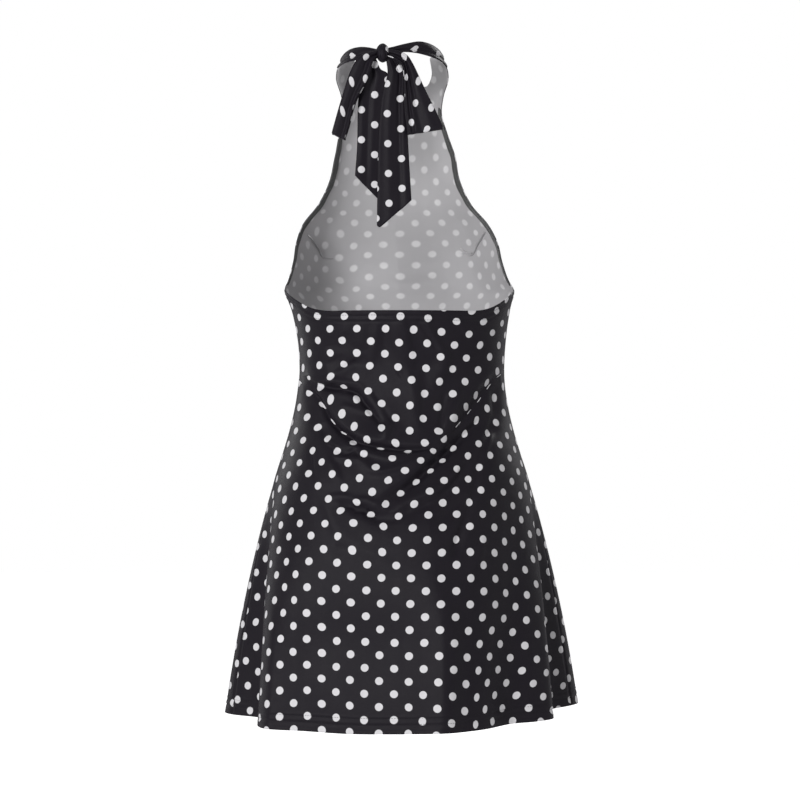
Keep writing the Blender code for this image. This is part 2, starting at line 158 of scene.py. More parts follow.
# Folds of the panels, as {name: (kind, points)}. A lap is a fold whose upper side hangs over its lower side,
# or the other way round where its height is negative. A roll is a lap whose hidden cloth is in PRINT_BREAKS.
# The others are ridges, or troughs where their height is negative: a soft fold is even, a ledge is steep on
# one side across its line and gentle on the other, and a right fold is steep on the wearer's right.
# Columns of the points, in millimetres: x out from the middle of the body, z, height, width.
BACK_FOLDS = {
    "upper_left": ("roll", (
        (125, -410, 0, 4), (117, -415, 1.6, 4.2), (107, -420, 2.2, 4.5), (95, -422, 1.8, 4.5),
        (85, -420, 0.8, 4.5), (78, -415, 0, 4),
    )),
    "upper_dark": ("ledge", (
        (89, -408, 0, 4), (80, -404, -2.4, 4.2), (71, -397, -2.6, 4.2), (62, -393, -2.8, 4.2),
        (54, -389, -1.4, 4.2), (47, -382, 0, 4),
    )),
    "upper_pinch": ("ledge", (
        (99, -376, 0, 4), (93, -372, -1.4, 4.2), (85, -368, -2.2, 4.5), (76, -363, -1.2, 4.2),
        (70, -355, 0, 4),
    )),
    "upper_short": ("ledge", (
        (96, -395, 0, 3.5), (89, -392, -1.3, 4), (82, -388, -1.4, 4), (76, -383, 0, 3.5),
    )),
    "upper_nick": ("ledge", (
        (64, -372, 0, 3.5), (56, -373, -1.6, 4), (49, -376, -1.5, 4), (43, -379, 0, 3.5),
    )),
    "gather_left": ("soft", (
        (66, -342, 0, 5), (71, -352, 0.8, 6), (77, -364, 0.9, 6.5), (88, -377, 0.6, 6), (98, -384, 0, 5),
    )),
    "gather_inner": ("soft", (
        (32, -343, 0, 4.5), (33, -357, 0.7, 5.5), (35, -375, 0.8, 6), (40, -394, 0.6, 6), (45, -412, 0, 5),
    )),
    "middle_left_hollow": ("soft", (
        (22, -344, 0, 6), (21, -360, -0.9, 7), (18, -379, -0.8, 7.5), (13, -399, 0, 7),
    )),
    "middle_ridge": ("right", (
        (4, -337, 0, 7), (3, -348, 1.2, 8), (-1, -373, 1.5, 8.5), (-6, -402, 1.3, 8.5),
        (-12, -429, 0.8, 8), (-16, -455, 0, 7),
    )),
    "fan_outer": ("right", (
        (-26, -339, 0, 3.5), (-33, -348, 0.9, 4), (-44, -368, 1.2, 4.6), (-55, -383, 1.5, 5.2),
        (-57, -394, 1.7, 5.6), (-52, -407, 1.4, 5.6), (-43, -419, 0.9, 5.5), (-36, -429, 0, 5),
    )),
    "fan_inner": ("soft", (
        (-18, -341, 0, 3), (-26, -349, -0.6, 3.2), (-34, -362, -0.9, 3.4), (-41, -372, -0.9, 3.6),
        (-47, -382, 0, 3),
    )),
    "gather_right": ("soft", (
        (-73, -340, 0, 3.5), (-78, -350, 0.7, 4), (-84, -361, 0, 3.5),
    )),
    "upright_step": ("right", (
        (-21, -399, 0, 5), (-19, -417, 1.1, 6), (-18, -436, 1.5, 6.5), (-18, -457, 1.3, 6.5),
        (-22, -477, 0.8, 5.5), (-25, -492, 0, 4.5),
    )),
    "upright_nick": ("soft", (
        (-55, -429, 0, 3), (-53, -442, -0.9, 3.4), (-51, -457, -1.2, 3.4), (-49, -472, -1.1, 3.4),
        (-49, -482, 0, 3),
    )),
    "right_wedge": ("soft", (
        (-77, -417, 0, 6), (-72, -433, 1.2, 7), (-66, -450, 1.6, 8), (-59, -467, 1.3, 7.5),
        (-54, -482, 0, 6.5),
    )),
    "swag": ("ledge", (
        (125, -424, 0, 5), (115, -431, -1.2, 6), (101, -447, -2, 6.6), (89, -468, -2.4, 7),
        (66, -485, -2.4, 7), (43, -494, -2.2, 7), (6, -500, -2, 6.6), (-18, -501, -1.6, 6.2),
        (-41, -498, -1, 6), (-60, -489, 0, 5),
    )),
    "under_swag": ("soft", (
        (90, -481, 0, 3.5), (76, -492, 0.7, 3.8), (59, -502, 1, 4), (39, -508, 1, 4.2),
        (18, -513, 0.8, 4.2), (2, -514, 0.6, 4.4), (-23, -510, 0, 4.2),
    )),
    "roll_right": ("ledge", (
        (-35, -505, 0, 6), (-48, -497, -1.6, 7), (-56, -492, -2.4, 8), (-71, -478, -3, 9),
        (-83, -461, -3.4, 10), (-94, -445, -3.4, 10), (-108, -428, -3, 9), (-120, -412, -1.4, 8),
        (-125, -405, 0, 6),
    )),
    "deep_right": ("ledge", (
        (-114, -455, 0, 7), (-104, -465, -2.6, 8), (-88, -476, -4.2, 9), (-73, -488, -5.4, 9.6),
        (-58, -501, -6.2, 9.8), (-45, -512, -6.2, 9.8), (-33, -524, -6, 9.6), (-20, -535, -5.6, 9.2),
        (-8, -546, -5, 8.6), (7, -554, -4.2, 8), (19, -562, -2.8, 7), (32, -568, 0, 6),
    )),
    "right_edge": ("ledge", (
        (-117, -422, 0, 6), (-118, -437, -2.4, 6), (-118, -455, -3.2, 6), (-114, -475, -2.8, 5.6),
        (-108, -490, -2.4, 4.8), (-102, -504, -2.2, 4.6), (-96, -519, -1.6, 4.4), (-90, -539, 0, 4),
    )),
    "right_edge_ridge": ("soft", (
        (-120, -480, 0, 3.5), (-115, -490, 1.2, 4), (-108, -502, 1.4, 4), (-104, -517, 0.8, 4),
        (-101, -529, 0, 3.5),
    )),
    "second_left": ("ledge", (
        (125, -419, 0, 4.5), (115, -422, -0.6, 5), (105, -424, -0.8, 5.4), (89, -426, -0.9, 5.6),
        (73, -428, -1, 5.8), (59, -432, -1.2, 6), (49, -441, -1.2, 6), (38, -453, -1, 6),
        (27, -468, -0.6, 5.4), (19, -479, 0, 4.5),
    )),
    "inside_second": ("soft", (
        (77, -448, 0, 3.2), (69, -450, 0.6, 3.8), (59, -453, 0.7, 4), (48, -456, 0.5, 3.8),
        (42, -460, 0, 3.2),
    )),
    "knuckle": ("soft", (
        (15, -465, 0, 4), (17, -476, 2, 5.5), (21, -486, 1.8, 5.5), (24, -496, 0, 4.5),
    )),
    "thin_middle": ("soft", (
        (23, -447, 0, 2.6), (20, -455, -0.5, 2.8), (16, -462, -0.5, 2.8), (12, -471, 0, 2.6),
    )),
    "thin_upper": ("soft", (
        (37, -428, 0, 2.6), (32, -436, -0.7, 2.8), (27, -445, 0, 2.6),
    )),
    "thin_right": ("soft", (
        (7, -402, 0, 2.6), (2, -409, -0.7, 2.8), (-3, -417, 0, 2.6),
    )),
    "dash_left": ("roll", (
        (100, -489, 0, 3.6), (91, -496, 1.4, 4), (82, -501, 1.6, 4.2), (73, -504, 0.8, 4),
        (66, -504, 0, 3.6),
    )),
    "vee": ("soft", (
        (78, -512, 0, 3), (68, -509, -1.2, 3.4), (60, -503, -1.6, 3.6), (56, -507, -1.5, 3.4),
        (49, -513, 0, 3),
    )),
    "vee_ridge": ("soft", (
        (87, -510, 0, 3.2), (77, -514, 1, 3.6), (63, -515, 1.1, 3.6), (49, -515, 0, 3.4),
    )),
    "bright_patch": ("soft", (
        (56, -510, 0, 4), (47, -520, 1.4, 6), (38, -529, 1.6, 6.5), (24, -530, 1.2, 5), (6, -526, 1, 4.8),
        (-15, -518, 0.8, 4.8), (-35, -513, 0, 4),
    )),
    "left_ridge": ("right", (
        (97, -508, 0, 3.6), (90, -518, 1.2, 4), (83, -529, 1.4, 4.2), (78, -540, 1, 4), (73, -551, 0, 3.6),
    )),
    "left_thin": ("soft", (
        (116, -497, 0, 3), (114, -512, -0.9, 3.6), (112, -529, -0.9, 3.6), (109, -546, 0, 3),
    )),
    "left_corner": ("ledge", (
        (106, -472, 0, 3.6), (103, -481, -1.6, 4.2), (100, -489, -1.6, 4.2), (93, -498, 0, 3.6),
    )),
    "low_swag": ("ledge", (
        (85, -566, 0, 5), (75, -567, -0.8, 6), (65, -570, -1.2, 6.4), (54, -574, -1.6, 6.8),
        (43, -578, -1.8, 7), (32, -583, -1.8, 7), (21, -587, -1.8, 7), (8, -585, -2, 7),
        (-2, -579, -2.4, 7), (-13, -575, -2.8, 7), (-25, -569, -3.2, 7), (-39, -566, -3.8, 7.6),
        (-51, -558, -5, 8.4), (-64, -548, -5.6, 8.6), (-74, -537, -5.6, 8.4), (-81, -525, -4.8, 8),
        (-88, -514, -3, 7), (-94, -501, 0, 6),
    )),
    "low_swag_ridge": ("soft", (
        (94, -563, 0, 3.4), (82, -563, 1.2, 3.8), (64, -565, 1.3, 4), (46, -567, 1.4, 4),
        (30, -572, 1.2, 4), (17, -576, 0, 3.6),
    )),
    "between_ridge": ("soft", (
        (9, -573, 0, 4), (-3, -567, 0.9, 4.6), (-18, -560, 1, 4.8), (-35, -554, 0.8, 4.8),
        (-49, -546, 0, 4),
    )),
    "right_tuck": ("ledge", (
        (-81, -556, 0, 4.6), (-72, -564, -2, 5.4), (-62, -573, -2.8, 5.8), (-52, -581, -2.8, 5.8),
        (-44, -591, -2, 5.6), (-37, -602, 0, 5),
    )),
    "right_soft": ("soft", (
        (-99, -524, 0, 4.5), (-95, -541, -1, 5.4), (-90, -562, -1.6, 6), (-82, -584, -2, 6.4),
        (-74, -605, -2.4, 6.4), (-67, -623, -2.2, 6), (-58, -638, 0, 5),
    )),
    "right_glow": ("soft", (
        (-104, -608, 0, 5), (-99, -624, 1, 6), (-94, -640, 1.2, 6.5), (-84, -655, 0.8, 6),
        (-76, -670, 0, 5),
    )),
    "bowl_edge": ("soft", (
        (99, -563, 0, 5), (92, -578, 0.7, 6.5), (83, -595, 0.9, 8), (71, -611, 0.8, 9), (51, -625, 0.6, 9),
        (29, -636, 0.5, 8), (9, -644, 0, 7),
    )),
    "short_stroke": ("soft", (
        (88, -624, 0, 2.6), (76, -625, -0.8, 2.8), (63, -624, 0, 2.6),
    )),
    "low_stroke": ("soft", (
        (51, -633, 0, 2.6), (41, -637, -0.7, 2.8), (31, -640, 0, 2.6),
    )),
    "skirt_ridge_right": ("right", (
        (-36, -633, 0, 12), (-40, -668, 1, 14), (-54, -708, 1.8, 14), (-59, -746, 2.8, 14),
        (-56, -794, 3.8, 15), (-54, -860, 4.2, 16),
    )),
    "swag_core": ("soft", (
        (117, -426, 0, 3), (111, -434, -1.4, 3.4), (101, -448, -2.4, 3.6), (88, -470, -2.8, 3.8),
        (65, -487, -2.6, 3.8), (43, -496, -2.6, 3.6), (6, -502, -2.4, 3.4), (-18, -503, -1.8, 3.2),
        (-41, -499, -1.2, 3), (-53, -494, 0, 3),
    )),
    "second_core": ("soft", (
        (111, -422, 0, 3), (104, -424, -1.4, 3.4), (89, -427, -2, 3.6), (73, -428, -2.2, 3.8),
        (59, -432, -2.6, 4), (49, -442, -2.6, 4), (38, -455, -2.4, 3.8), (27, -470, -1.2, 3.4),
        (23, -476, 0, 3),
    )),
    "second_lip": ("soft", (
        (106, -415, 0, 3.2), (89, -417, 0.4, 3.6), (71, -419, 0.6, 3.8), (55, -422, 0.6, 3.8),
        (43, -433, 0.5, 3.8), (35, -445, 0.3, 3.6), (27, -457, 0, 3.2),
    )),
    "deep_core": ("soft", (
        (-107, -462, 0, 3.6), (-96, -471, -1.6, 4.4), (-81, -482, -2, 5), (-63, -499, -2.6, 5.2),
        (-48, -512, -3, 5.4), (-33, -525, -3, 5.4), (-19, -538, -2.6, 5), (-7, -548, -2, 4.6),
        (9, -556, -1.4, 4), (28, -564, 0, 3.4),
    )),
    "roll_core": ("soft", (
        (-121, -409, 0, 4), (-111, -423, -1.6, 6), (-94, -444, -2.2, 7), (-81, -462, -2.2, 7),
        (-71, -477, -1.8, 6.4), (-59, -489, -1, 5), (-49, -499, 0, 4),
    )),
    "low_core": ("soft", (
        (79, -568, 0, 3), (70, -571, -3, 3.4), (59, -574, -4.2, 3.8), (48, -578, -4.4, 4),
        (35, -583, -4, 4), (23, -589, -2.8, 4), (12, -587, -1.6, 3.8), (-2, -581, -1.4, 3.8),
        (-15, -576, -1.2, 3.8), (-28, -571, -1.2, 4), (-41, -564, -1.6, 4.2), (-56, -553, -2, 4.4),
        (-70, -539, -2, 4.4), (-80, -524, -1.2, 4.2), (-86, -514, 0, 4),
    )),
    "skirt_ridge_line": ("soft", (
        (-48, -693, 0, 9), (-49, -746, 0.8, 10), (-48, -806, 1, 11), (-45, -860, 1, 11),
    )),
    "skirt_hollow": ("soft", (
        (129, -736, 0, 40), (81, -741, -2.6, 46), (32, -744, -3, 46), (-10, -746, -1.8, 42),
        (-42, -746, 0, 36),
    )),
    "skirt_ridge_left": ("soft", (
        (130, -615, 0, 24), (133, -645, 1.2, 28), (137, -688, 2.4, 34), (137, -724, 1.6, 34),
        (139, -760, 0.6, 34), (141, -808, 0, 34),
    )),
    "flute_edge": ("soft", (
        (157, -698, 0, 7), (159, -724, 0.4, 8), (161, -785, 0.5, 9), (163, -863, 0.5, 9),
    )),
    "upper_patch": ("soft", (
        (52, -337, 0, 6), (50, -349, 0.9, 8), (50, -364, 1.1, 9), (55, -382, 0.8, 8), (62, -394, 0, 7),
    )),
    "upper_streak": ("soft", (
        (-2, -339, 0, 3.5), (-5, -350, 0.6, 4), (-8, -367, 0.7, 4.4), (-12, -387, 0.6, 4.6),
        (-16, -407, 0, 4),
    )),
}

FRONT_FOLDS = {
    "waist_left": ("lap", (
        (118, -412, 0, 6), (98, -425, 2.2, 6.5), (70, -437, 3.2, 7), (40, -444, 3, 7),
        (12, -446, 1.8, 6.5), (-10, -443, 0, 6),
    )),
    "waist_right": ("lap", (
        (-116, -428, 0, 6), (-95, -442, 2, 6.5), (-70, -456, 3, 7), (-42, -464, 2.2, 7), (-14, -465, 0, 6),
    )),
    "hip_left": ("soft", (
        (108, -493, 0, 8), (78, -515, -3.4, 9.5), (34, -533, 0, 8),
    )),
    "hip_right": ("soft", (
        (-110, -508, 0, 8), (-82, -532, -2.8, 9), (-46, -546, 0, 8),
    )),
    "under_bust_left": ("soft", (
        (80, -312, 0, 7), (73, -346, 2, 8), (71, -390, 0, 7),
    )),
    "under_bust_right": ("soft", (
        (-66, -318, 0, 7), (-62, -356, 1.8, 8), (-64, -402, 0, 7),
    )),
    "between": ("soft", (
        (58, -266, 0, 8), (0, -274, -1.6, 9), (-60, -269, 0, 8),
    )),
    "strap_left": ("soft", (
        (52, -28, 0, 5), (44, -70, 1.6, 6), (36, -120, 0, 6),
    )),
    "strap_right": ("soft", (
        (-54, -24, 0, 5), (-47, -64, 1.4, 6), (-41, -108, 0, 6),
    )),
    "skirt_ridge_left": ("soft", (
        (62, -650, 0, 20), (72, -760, 3.2, 22), (80, -860, 4.5, 24),
    )),
    "skirt_ridge_right": ("soft", (
        (-72, -630, 0, 20), (-86, -750, 3.6, 22), (-94, -860, 4.8, 24),
    )),
}

# How many times higher and wider each kind of fold is in the cloth than its points say
FULLNESS = {
    "lap": (1.4, 0.9),
    "roll": (1.3, 0.8),
    "soft": (2.2, 1.0),
    "ledge": (1.35, 0.95),
    "right": (2.2, 1.0),
}
GENTLE_SIDE = 2.4  # how many times wider the gentle side of a fold is than its steep side
STEEPEST = 0.7  # where a fold is steepest, as a share of its width
FOLD_REACH = 9  # a fold is felt out to this many times its width
FOLD_STEPS = 6  # steps of a fold's line from each of its points to the next
FOLD_ROUNDS = 3  # rounds of evening out the line on the form
SIDE_FACING = (0.75, 0.95)  # how far the cloth faces along a fold where the fold's own way takes over
SEAM_CALM = (0.002, 0.030)  # folds die out over this distance from a side seam
# A lap across its line, as shares of its width: the ridge, and the hollow under it
RIDGE_AT = 0.7
RIDGE_FALL = 1.4
HOLLOW_AT = -0.75
HOLLOW_FALL = 1.6
HOLLOW_DEPTH = 0.75
LAP_SLIDE = 0.7  # how far its upper side slides over the lower, as a share of its height
LAP_TAKE = 0.9  # how much of the print it hides on each side, as a share of its height
LAP_TURN = 2.5  # how fast it does so away from its line
LAP_PRINT_REACH = 0.030  # the print goes back into place over this distance from a fold
SOFT_TAKE = 0.31  # the slope of a soft fold takes up this much cloth, times height squared over width
SOFT_TAKE_WIDTH = 1.6  # over this many widths
MOST_TAKEN = 0.4  # and at most this share of the distance from its line

# Lines along which folds of the back hide some of its cloth, so that the print below is from further on.
# Each is (far, fade, points), in millimetres: far is how far the print has moved on well below the line,
# across and down, and fade is the distance over which it gets there. Columns of the points: x out from the
# middle of the body, z, how far the print moves on across and down at the line, and over what distance.
PRINT_BREAKS = {
    "front": (),
    "back": (
        ((0, 0), 40, (
            (133, -403, 0, 0, 8), (129, -408, -1, 3, 6), (112, -416, -1, 6, 3), (99, -420, -1, 6, 2),
            (86, -422, -1, 5, 2), (66, -428, -1, 4, 2), (53, -433, 0, 3, 2), (46, -443, 0, 1, 2),
            (34, -467, 0, 0, 2),
        )),
        ((-18.05, 15.95), 60, (
            (135, -411, -18, 16, 1.5), (132, -415, -14, 16, 1.5), (128, -420, -8, 16, 2),
            (122, -425, -2, 16, 3), (109, -437, 0, 16, 2.5), (99, -451, 2, 15, 1.5),
            (85, -473, 2, 14, 1.5), (60, -488, -1, 10, 1.5), (33, -498, -2, 7, 1.5),
            (-6, -502, -4, 5, 1.5), (-29, -501, -7, 4, 1.5), (-48, -490, -12, 5, 1.5),
            (-66, -477, -16, 11, 1.5), (-80, -463, -16, 15, 1.5), (-99, -444, -16, 17, 1.5),
            (-111, -428, -17, 16, 2.5), (-120, -416, -18, 16, 2), (-128, -408, -18, 16, 1.5),
            (-134, -400, -18, 16, 1.5),
        )),
    ),
}

# How far the knit is stretched off an even print, in millimetres across and down, at each height and at each
# distance out from the middle of the body
EVEN = ((0, 0),) * 9  # not stretched
EASE_OUT = (0.16, 0.12, 0.08, 0.04, 0.00, -0.04, -0.08, -0.12, -0.16)
PRINT_EASE = {
    "back": {
        -0.33: ((0, 4), (1, 5), (4, 1), (2, 0), (-1, -0.5), (-5, -2), (-6, -4), (-2, 2), (-2, 4)),
        -0.37: ((-5, 4), (-3, 5), (-4, 2), (-2, -1), (-3, -3), (-4, -3), (-4, -2), (-4, 6), (-4, 7)),
        -0.42: ((-5, 0), (-5, 2), (-3, 6), (-5, 1), (-4, -1), (-3, -2), (-4, 1), (-2, 4), (0, 5)),
        -0.46: ((1, 0), (1, 0), (-3, 2), (-5, 4), (-5, -2), (-7, -2), (-1, 2), (-5, 1), (-7, 1)),
        -0.54: ((8, 6), (5, 4), (3, 2), (-1, 0), (-2, -2), (-2, 2), (-2, 3), (-7, 3), (-10, 4)),
        -0.60: ((3, 5), (-1, 5), (0, 2), (1, -1), (-1, -2), (-1, 0), (-1, 3), (-3, 5), (-10, 5)),
        -0.69: ((5, 5), (-3, 4), (-1, 1), (1, -1), (0, -1), (0, -1), (1, 1), (2, 4), (-2, 5)),
        -0.75: ((-3, 5), (-4, 4), (-1, 1), (0, 0), (0, -1), (0, 0), (-1, 0), (-6, 4), (-4, 5)),
        -0.84: ((-4, 5), (-3, 6), (1, 4), (1, 1), (2, 2), (0, 1), (-2, -1), (-17, 6), (-15, 9)),
    },
    "front": {
        -0.05: EVEN,
        -0.10: ((-6, -12), (-6, -12), (-6, -12), (-3, -10), (1, -10), (2, -8), (2, -8), (2, -10), (2, -10)),
        -0.15: ((-9, -12), (-9, -12), (-9, -12), (-5, -8), (-1, -8), (0, -9), (1, -9), (2, -10), (2, -10)),
        -0.18: ((-4, -8), (-4, -8), (-3, -8), (-2, -4), (0, -4), (-2, -5), (-1, -6), (1, -11), (1, -11)),
        -0.20: ((-3, 1), (-3, 1), (-1, -2), (-1, -3), (2, -2), (-1, -2), (-2, -4), (-3, -7), (-3, -7)),
        -0.23: ((-4, 0), (-3, -5), (3, -5), (0, -1), (0, 0), (1, 0), (-4, -1), (-7, -1), (-9, 1)),
        -0.25: ((-4, -4), (0, -8), (4, -5), (1, 1), (0, 1), (0, 1), (-4, 0), (-5, 0), (-5, 2)),
        -0.28: ((-5, 5), (1, -5), (3, -4), (1, 1), (1, 0), (1, 3), (-4, 3), (-5, 0), (-4, -4)),
        -0.31: ((0, 8), (4, 0), (4, 0), (0, 3), (1, 2), (1, 3), (-2, 6), (-2, 6), (-2, 6)),
        -0.40: EVEN,
        -0.86: EVEN,
    },
}

# Print: two square-set lattices of dots, the second between the first
DOT_PITCH_ACROSS = 0.0361
DOT_PITCH_DOWN = 0.0319
DOT_RADIUS = 0.00485
BOW_DOT_RADIUS = 0.0043  # the bow and the tie are not stretched over the figure

# Where the print starts on each panel: distance across and down from the middle of its top edge, and how
# far it runs off the straight in each metre
PANEL_PRINT_START = {"front": (0.0267, 0.0099), "back": (-0.0005, 0.0149)}
PANEL_PRINT_TILT = {"front": 0.03, "back": 0.022}
# and on each strip: distance along from the knot and across from its outer edge. The strips are cut across
# the cloth and stretched, so their print is a little larger.
STRIP_PRINT_START = {
    "neck_tie_left": (-0.0242, -0.0123),
    "neck_tie_right": (-0.0291, 0.0055),
    "bow_loop_left": (0.0022, -0.0234),
    "bow_loop_right": (-0.0233, -0.0039),
    "bow_tail_left": (-0.0052, -0.0092),
    "bow_tail_right": (-0.0106, -0.0114),
}
STRIP_STRETCH = 1.05
TAIL_PRINT_FROM = (0.0128, -0.0135)  # the tails' print is even as they hang, from this x and z
TAIL_PRINT_TILT = {"bow_tail_left": 0.0, "bow_tail_right": -0.02}  # sideways for each metre down

# Route of the neck tie round the back of the neck, from its seam to the knot.
# Columns: x, y and z of the top edge, then x, y and z of the foot.
TIE_RIGHT = (
    (-0.062, 0.020, 0.008, -0.0710, 0.020, -0.011),
    (-0.052, 0.038, 0.013, -0.0610, 0.041, -0.007),
    (-0.036, 0.051, 0.015, -0.0410, 0.056, -0.003),
    (-0.018, 0.059, 0.011, -0.0210, 0.063, -0.001),
    (0.0045, 0.0655, 0.004, 0.0045, 0.0662, -0.002),
)
TIE_LEFT = (
    (0.063, 0.018, 0.004, 0.0715, 0.018, -0.013),
    (0.055, 0.038, 0.007, 0.0620, 0.040, -0.011),
    (0.043, 0.050, 0.008, 0.0480, 0.054, -0.010),
    (0.031, 0.059, 0.006, 0.0320, 0.062, -0.008),
    (0.0175, 0.0655, 0.002, 0.0175, 0.0662, -0.006),
)
TIE_SEAM_LENGTH = 1 / 6  # the share of its length over which the tie leaves the form of its seam
TIE_PLEAT_ENDS = (0.20, 0.93)  # its folds rise up to the first of these shares, and fall from the second

KNOT_CENTRE = (0.0118, 0.074, -0.0042)
KNOT_SIZE = (0.0160, 0.020, 0.0240)
KNOT_PRINT_START = (-0.0040, 0.0080)
KNOT_FULLNESS = 0.10  # how much fuller it is round its middle than at its ends
KNOT_PINCH = 0.05  # and how much less full at its corners
# Creases of the knot. Columns: turn about Z, slant, depth, width, as angles and metres.
KNOT_CREASES = (
    (0.45, 0.5, 0.0011, 0.16),
    (1.25, 0.3, 0.0008, 0.12),
    (2.00, -0.4, 0.0012, 0.14),
    (2.70, 0.2, 0.0008, 0.12),
    (4.30, 0.4, 0.0010, 0.16),
    (5.30, -0.3, 0.0010, 0.16),
)

# Hanging loops of the bow. Each strip runs down, folds and comes back up nearer the body.
# Columns: x and z of the outer edge, x and z of the inner edge, y of the outer layer, room inside.
LOOP_LEFT = (
    (0.0180, -0.0010, 0.0178, -0.0090, 0.0785, 0.0034),
    (0.0400, -0.0090, 0.0240, -0.0170, 0.0825, 0.0045),
    (0.0530, -0.0300, 0.0296, -0.0360, 0.0840, 0.0065),
    (0.0642, -0.0650, 0.0453, -0.0660, 0.0840, 0.0070),
    (0.0735, -0.0970, 0.0545, -0.0990, 0.0825, 0.0070),
    (0.0755, -0.1045, 0.0590, -0.1120, 0.0815, 0.0065),
)
LOOP_RIGHT = (
    (0.0055, 0.0010, 0.0058, -0.0090, 0.0785, 0.0034),
    (-0.0150, -0.0055, -0.0055, -0.0145, 0.0830, 0.0045),
    (-0.0255, -0.0180, -0.0140, -0.0240, 0.0850, 0.0065),
    (-0.0408, -0.0500, -0.0155, -0.0520, 0.0860, 0.0080),
    (-0.0527, -0.0740, -0.0165, -0.0780, 0.0855, 0.0080),
    (-0.0640, -0.0980, -0.0200, -0.1050, 0.0840, 0.0075),
)
# Tails of the bow, each a flat strip with a slanted end.
# Columns: x and z of the outer edge, x and z of the inner edge, y.
TAIL_LEFT = (
    (0.0225, -0.0060, 0.0186, -0.0145, 0.0728),
    (0.0320, -0.0220, 0.0145, -0.0240, 0.0724),
    (0.0385, -0.0340, 0.0045, -0.0328, 0.0720),
    (0.0430, -0.0650, 0.0090, -0.0650, 0.0715),
    (0.0442, -0.1200, 0.0130, -0.1200, 0.0725),
    (0.0468, -0.1590, 0.0135, -0.1930, 0.0765),
)
TAIL_RIGHT = (
    (0.0010, -0.0040, 0.0080, -0.0110, 0.0748),
    (-0.0110, -0.0190, 0.0060, -0.0240, 0.0750),
    (-0.0165, -0.0330, 0.0066, -0.0340, 0.0752),
    (-0.0180, -0.0650, 0.0138, -0.0680, 0.0752),
    (-0.0205, -0.1200, 0.0176, -0.1250, 0.0755),
    (-0.0245, -0.1910, 0.0192, -0.2285, 0.0840),
)

TAIL_PLEAT_START = 0.08  # the folds of a tail rise up to this share of its length
# The point of a tail is drawn up by this much, from these shares of its length and width
TIP_ROUNDING = 0.006
TIP_DOWN = 0.8
TIP_ACROSS = 0.8796
TIP_WIDTH = 0.12

# Lengthwise folds of the strips. Columns: place across (0 outer edge, 1 inner edge) at the knot and at the
# far end, height at the knot and at the far end, width as a share of the strip.
PLEATS = {
    "neck_tie_left": ((0.30, 0.30, 0.0010, 0.0006, 0.22), (0.62, 0.60, -0.0014, -0.0010, 0.10)),
    "neck_tie_right": ((0.28, 0.34, 0.0012, 0.0006, 0.20), (0.64, 0.66, -0.0018, -0.0014, 0.08)),
    "bow_loop_left": (
        (0.25, 0.30, 0.0014, 0.0008, 0.20),
        (0.62, 0.70, -0.0022, -0.0012, 0.12),
        (0.84, 0.90, 0.0012, 0.0008, 0.08),
    ),
    "bow_loop_right": (
        (0.35, 0.30, 0.0008, 0.0010, 0.16),
        (0.55, 0.62, -0.0022, -0.0010, 0.08),
        (0.68, 0.76, 0.0016, 0.0016, 0.06),
        (0.80, 0.86, -0.0020, -0.0016, 0.05),
        (0.92, 0.94, 0.0012, 0.0014, 0.05),
    ),
    "bow_tail_left": (
        (0.18, 0.20, 0.0012, 0.0004, 0.10),
        (0.38, 0.42, -0.0012, -0.0004, 0.10),
        (0.60, 0.62, 0.0010, 0.0003, 0.12),
    ),
    "bow_tail_right": (
        (0.14, 0.16, 0.0016, 0.0006, 0.10),
        (0.30, 0.30, -0.0020, -0.0006, 0.08),
        (0.68, 0.62, 0.0016, 0.0006, 0.14),
    ),
}

EDGE_ROLL = 0.0007  # the long edges of a strip are rolled in by this much
EDGE_ROLL_WIDTH = 0.035  # over this share of its width

# Bust darts, as folds on the front's inner side from the armhole to the tip.
# Columns: x out from the middle, z, height of the fold.
DARTS = {
    "bust_dart_left": (
        (0.126, -0.220, 0.0030),
        (0.114, -0.236, 0.0026),
        (0.110, -0.246, 0.0018),
        (0.105, -0.249, 0.0012),
        (0.095, -0.249, 0.0004),
    ),
    "bust_dart_right": (
        (-0.113, -0.219, 0.0030),
        (-0.105, -0.231, 0.0026),
        (-0.098, -0.245, 0.0016),
        (-0.089, -0.244, 0.0010),
        (-0.081, -0.242, 0.0004),
    ),
    "bust_dart_right_crease": (
        (-0.081, -0.235, 0.0004),
        (-0.089, -0.240, 0.0010),
        (-0.098, -0.244, 0.0006),
    ),
}
DART_GAP = 0.0003
DART_WALL = 0.0007
DART_LEAN = 0.6  # how far a dart's fold leans over, as a share of its height
DART_ROWS = 5

# Hems
BACK_STITCH_ROWS = (0.0060, 0.0125)  # below the back panel's top edge
HEM_STITCH_ROWS = (0.0120, 0.0195)  # above the hem
HEM_RISE = 0.0005  # a hem stands out this much, for its turned cloth
HEM_RISE_END = (0.0005, 0.0030)  # and goes back over this distance past its last row of stitches
STITCH_GROOVE = 0.0008  # a row of stitches draws the cloth in by this much
GROOVE_STEEP = 0.0007  # width of its steep side
GROOVE_GENTLE = 0.0050  # and of its gentle one
HEM_TURNING = 0.021  # width of the cloth turned up in the hem
TOP_TURNING = 0.0135  # and turned down at the back panel's top edge
TURNED_FROM = 0.0006  # a turning starts this far from the edge
TURNED_GAP = 0.0003
TURNED_SHORT = 2  # and leaves out this many columns at each side seam

STITCH_LENGTH = 0.0026
STITCH_PITCH = 0.0034
STITCH_RADIUS = 0.00022
STITCH_SIDES = 6
STITCH_RINGS = ((-0.36, 0.8), (0.0, 1.0), (0.36, 0.8))  # place along and radius, as shares
STITCH_LOOK = 0.001  # a stitch runs as its row does over this distance to either side

BINDING_WIDTH = 0.0085
BINDING_EDGE = 0.0004  # the bindings start this far in from the armholes
BINDING_GAP = 0.0004
BINDING_WALL = 0.0008
BINDING_ROWS = (0.72, 1.46)  # rows of the front panel that the bindings run along
BINDING_COLUMNS = 9
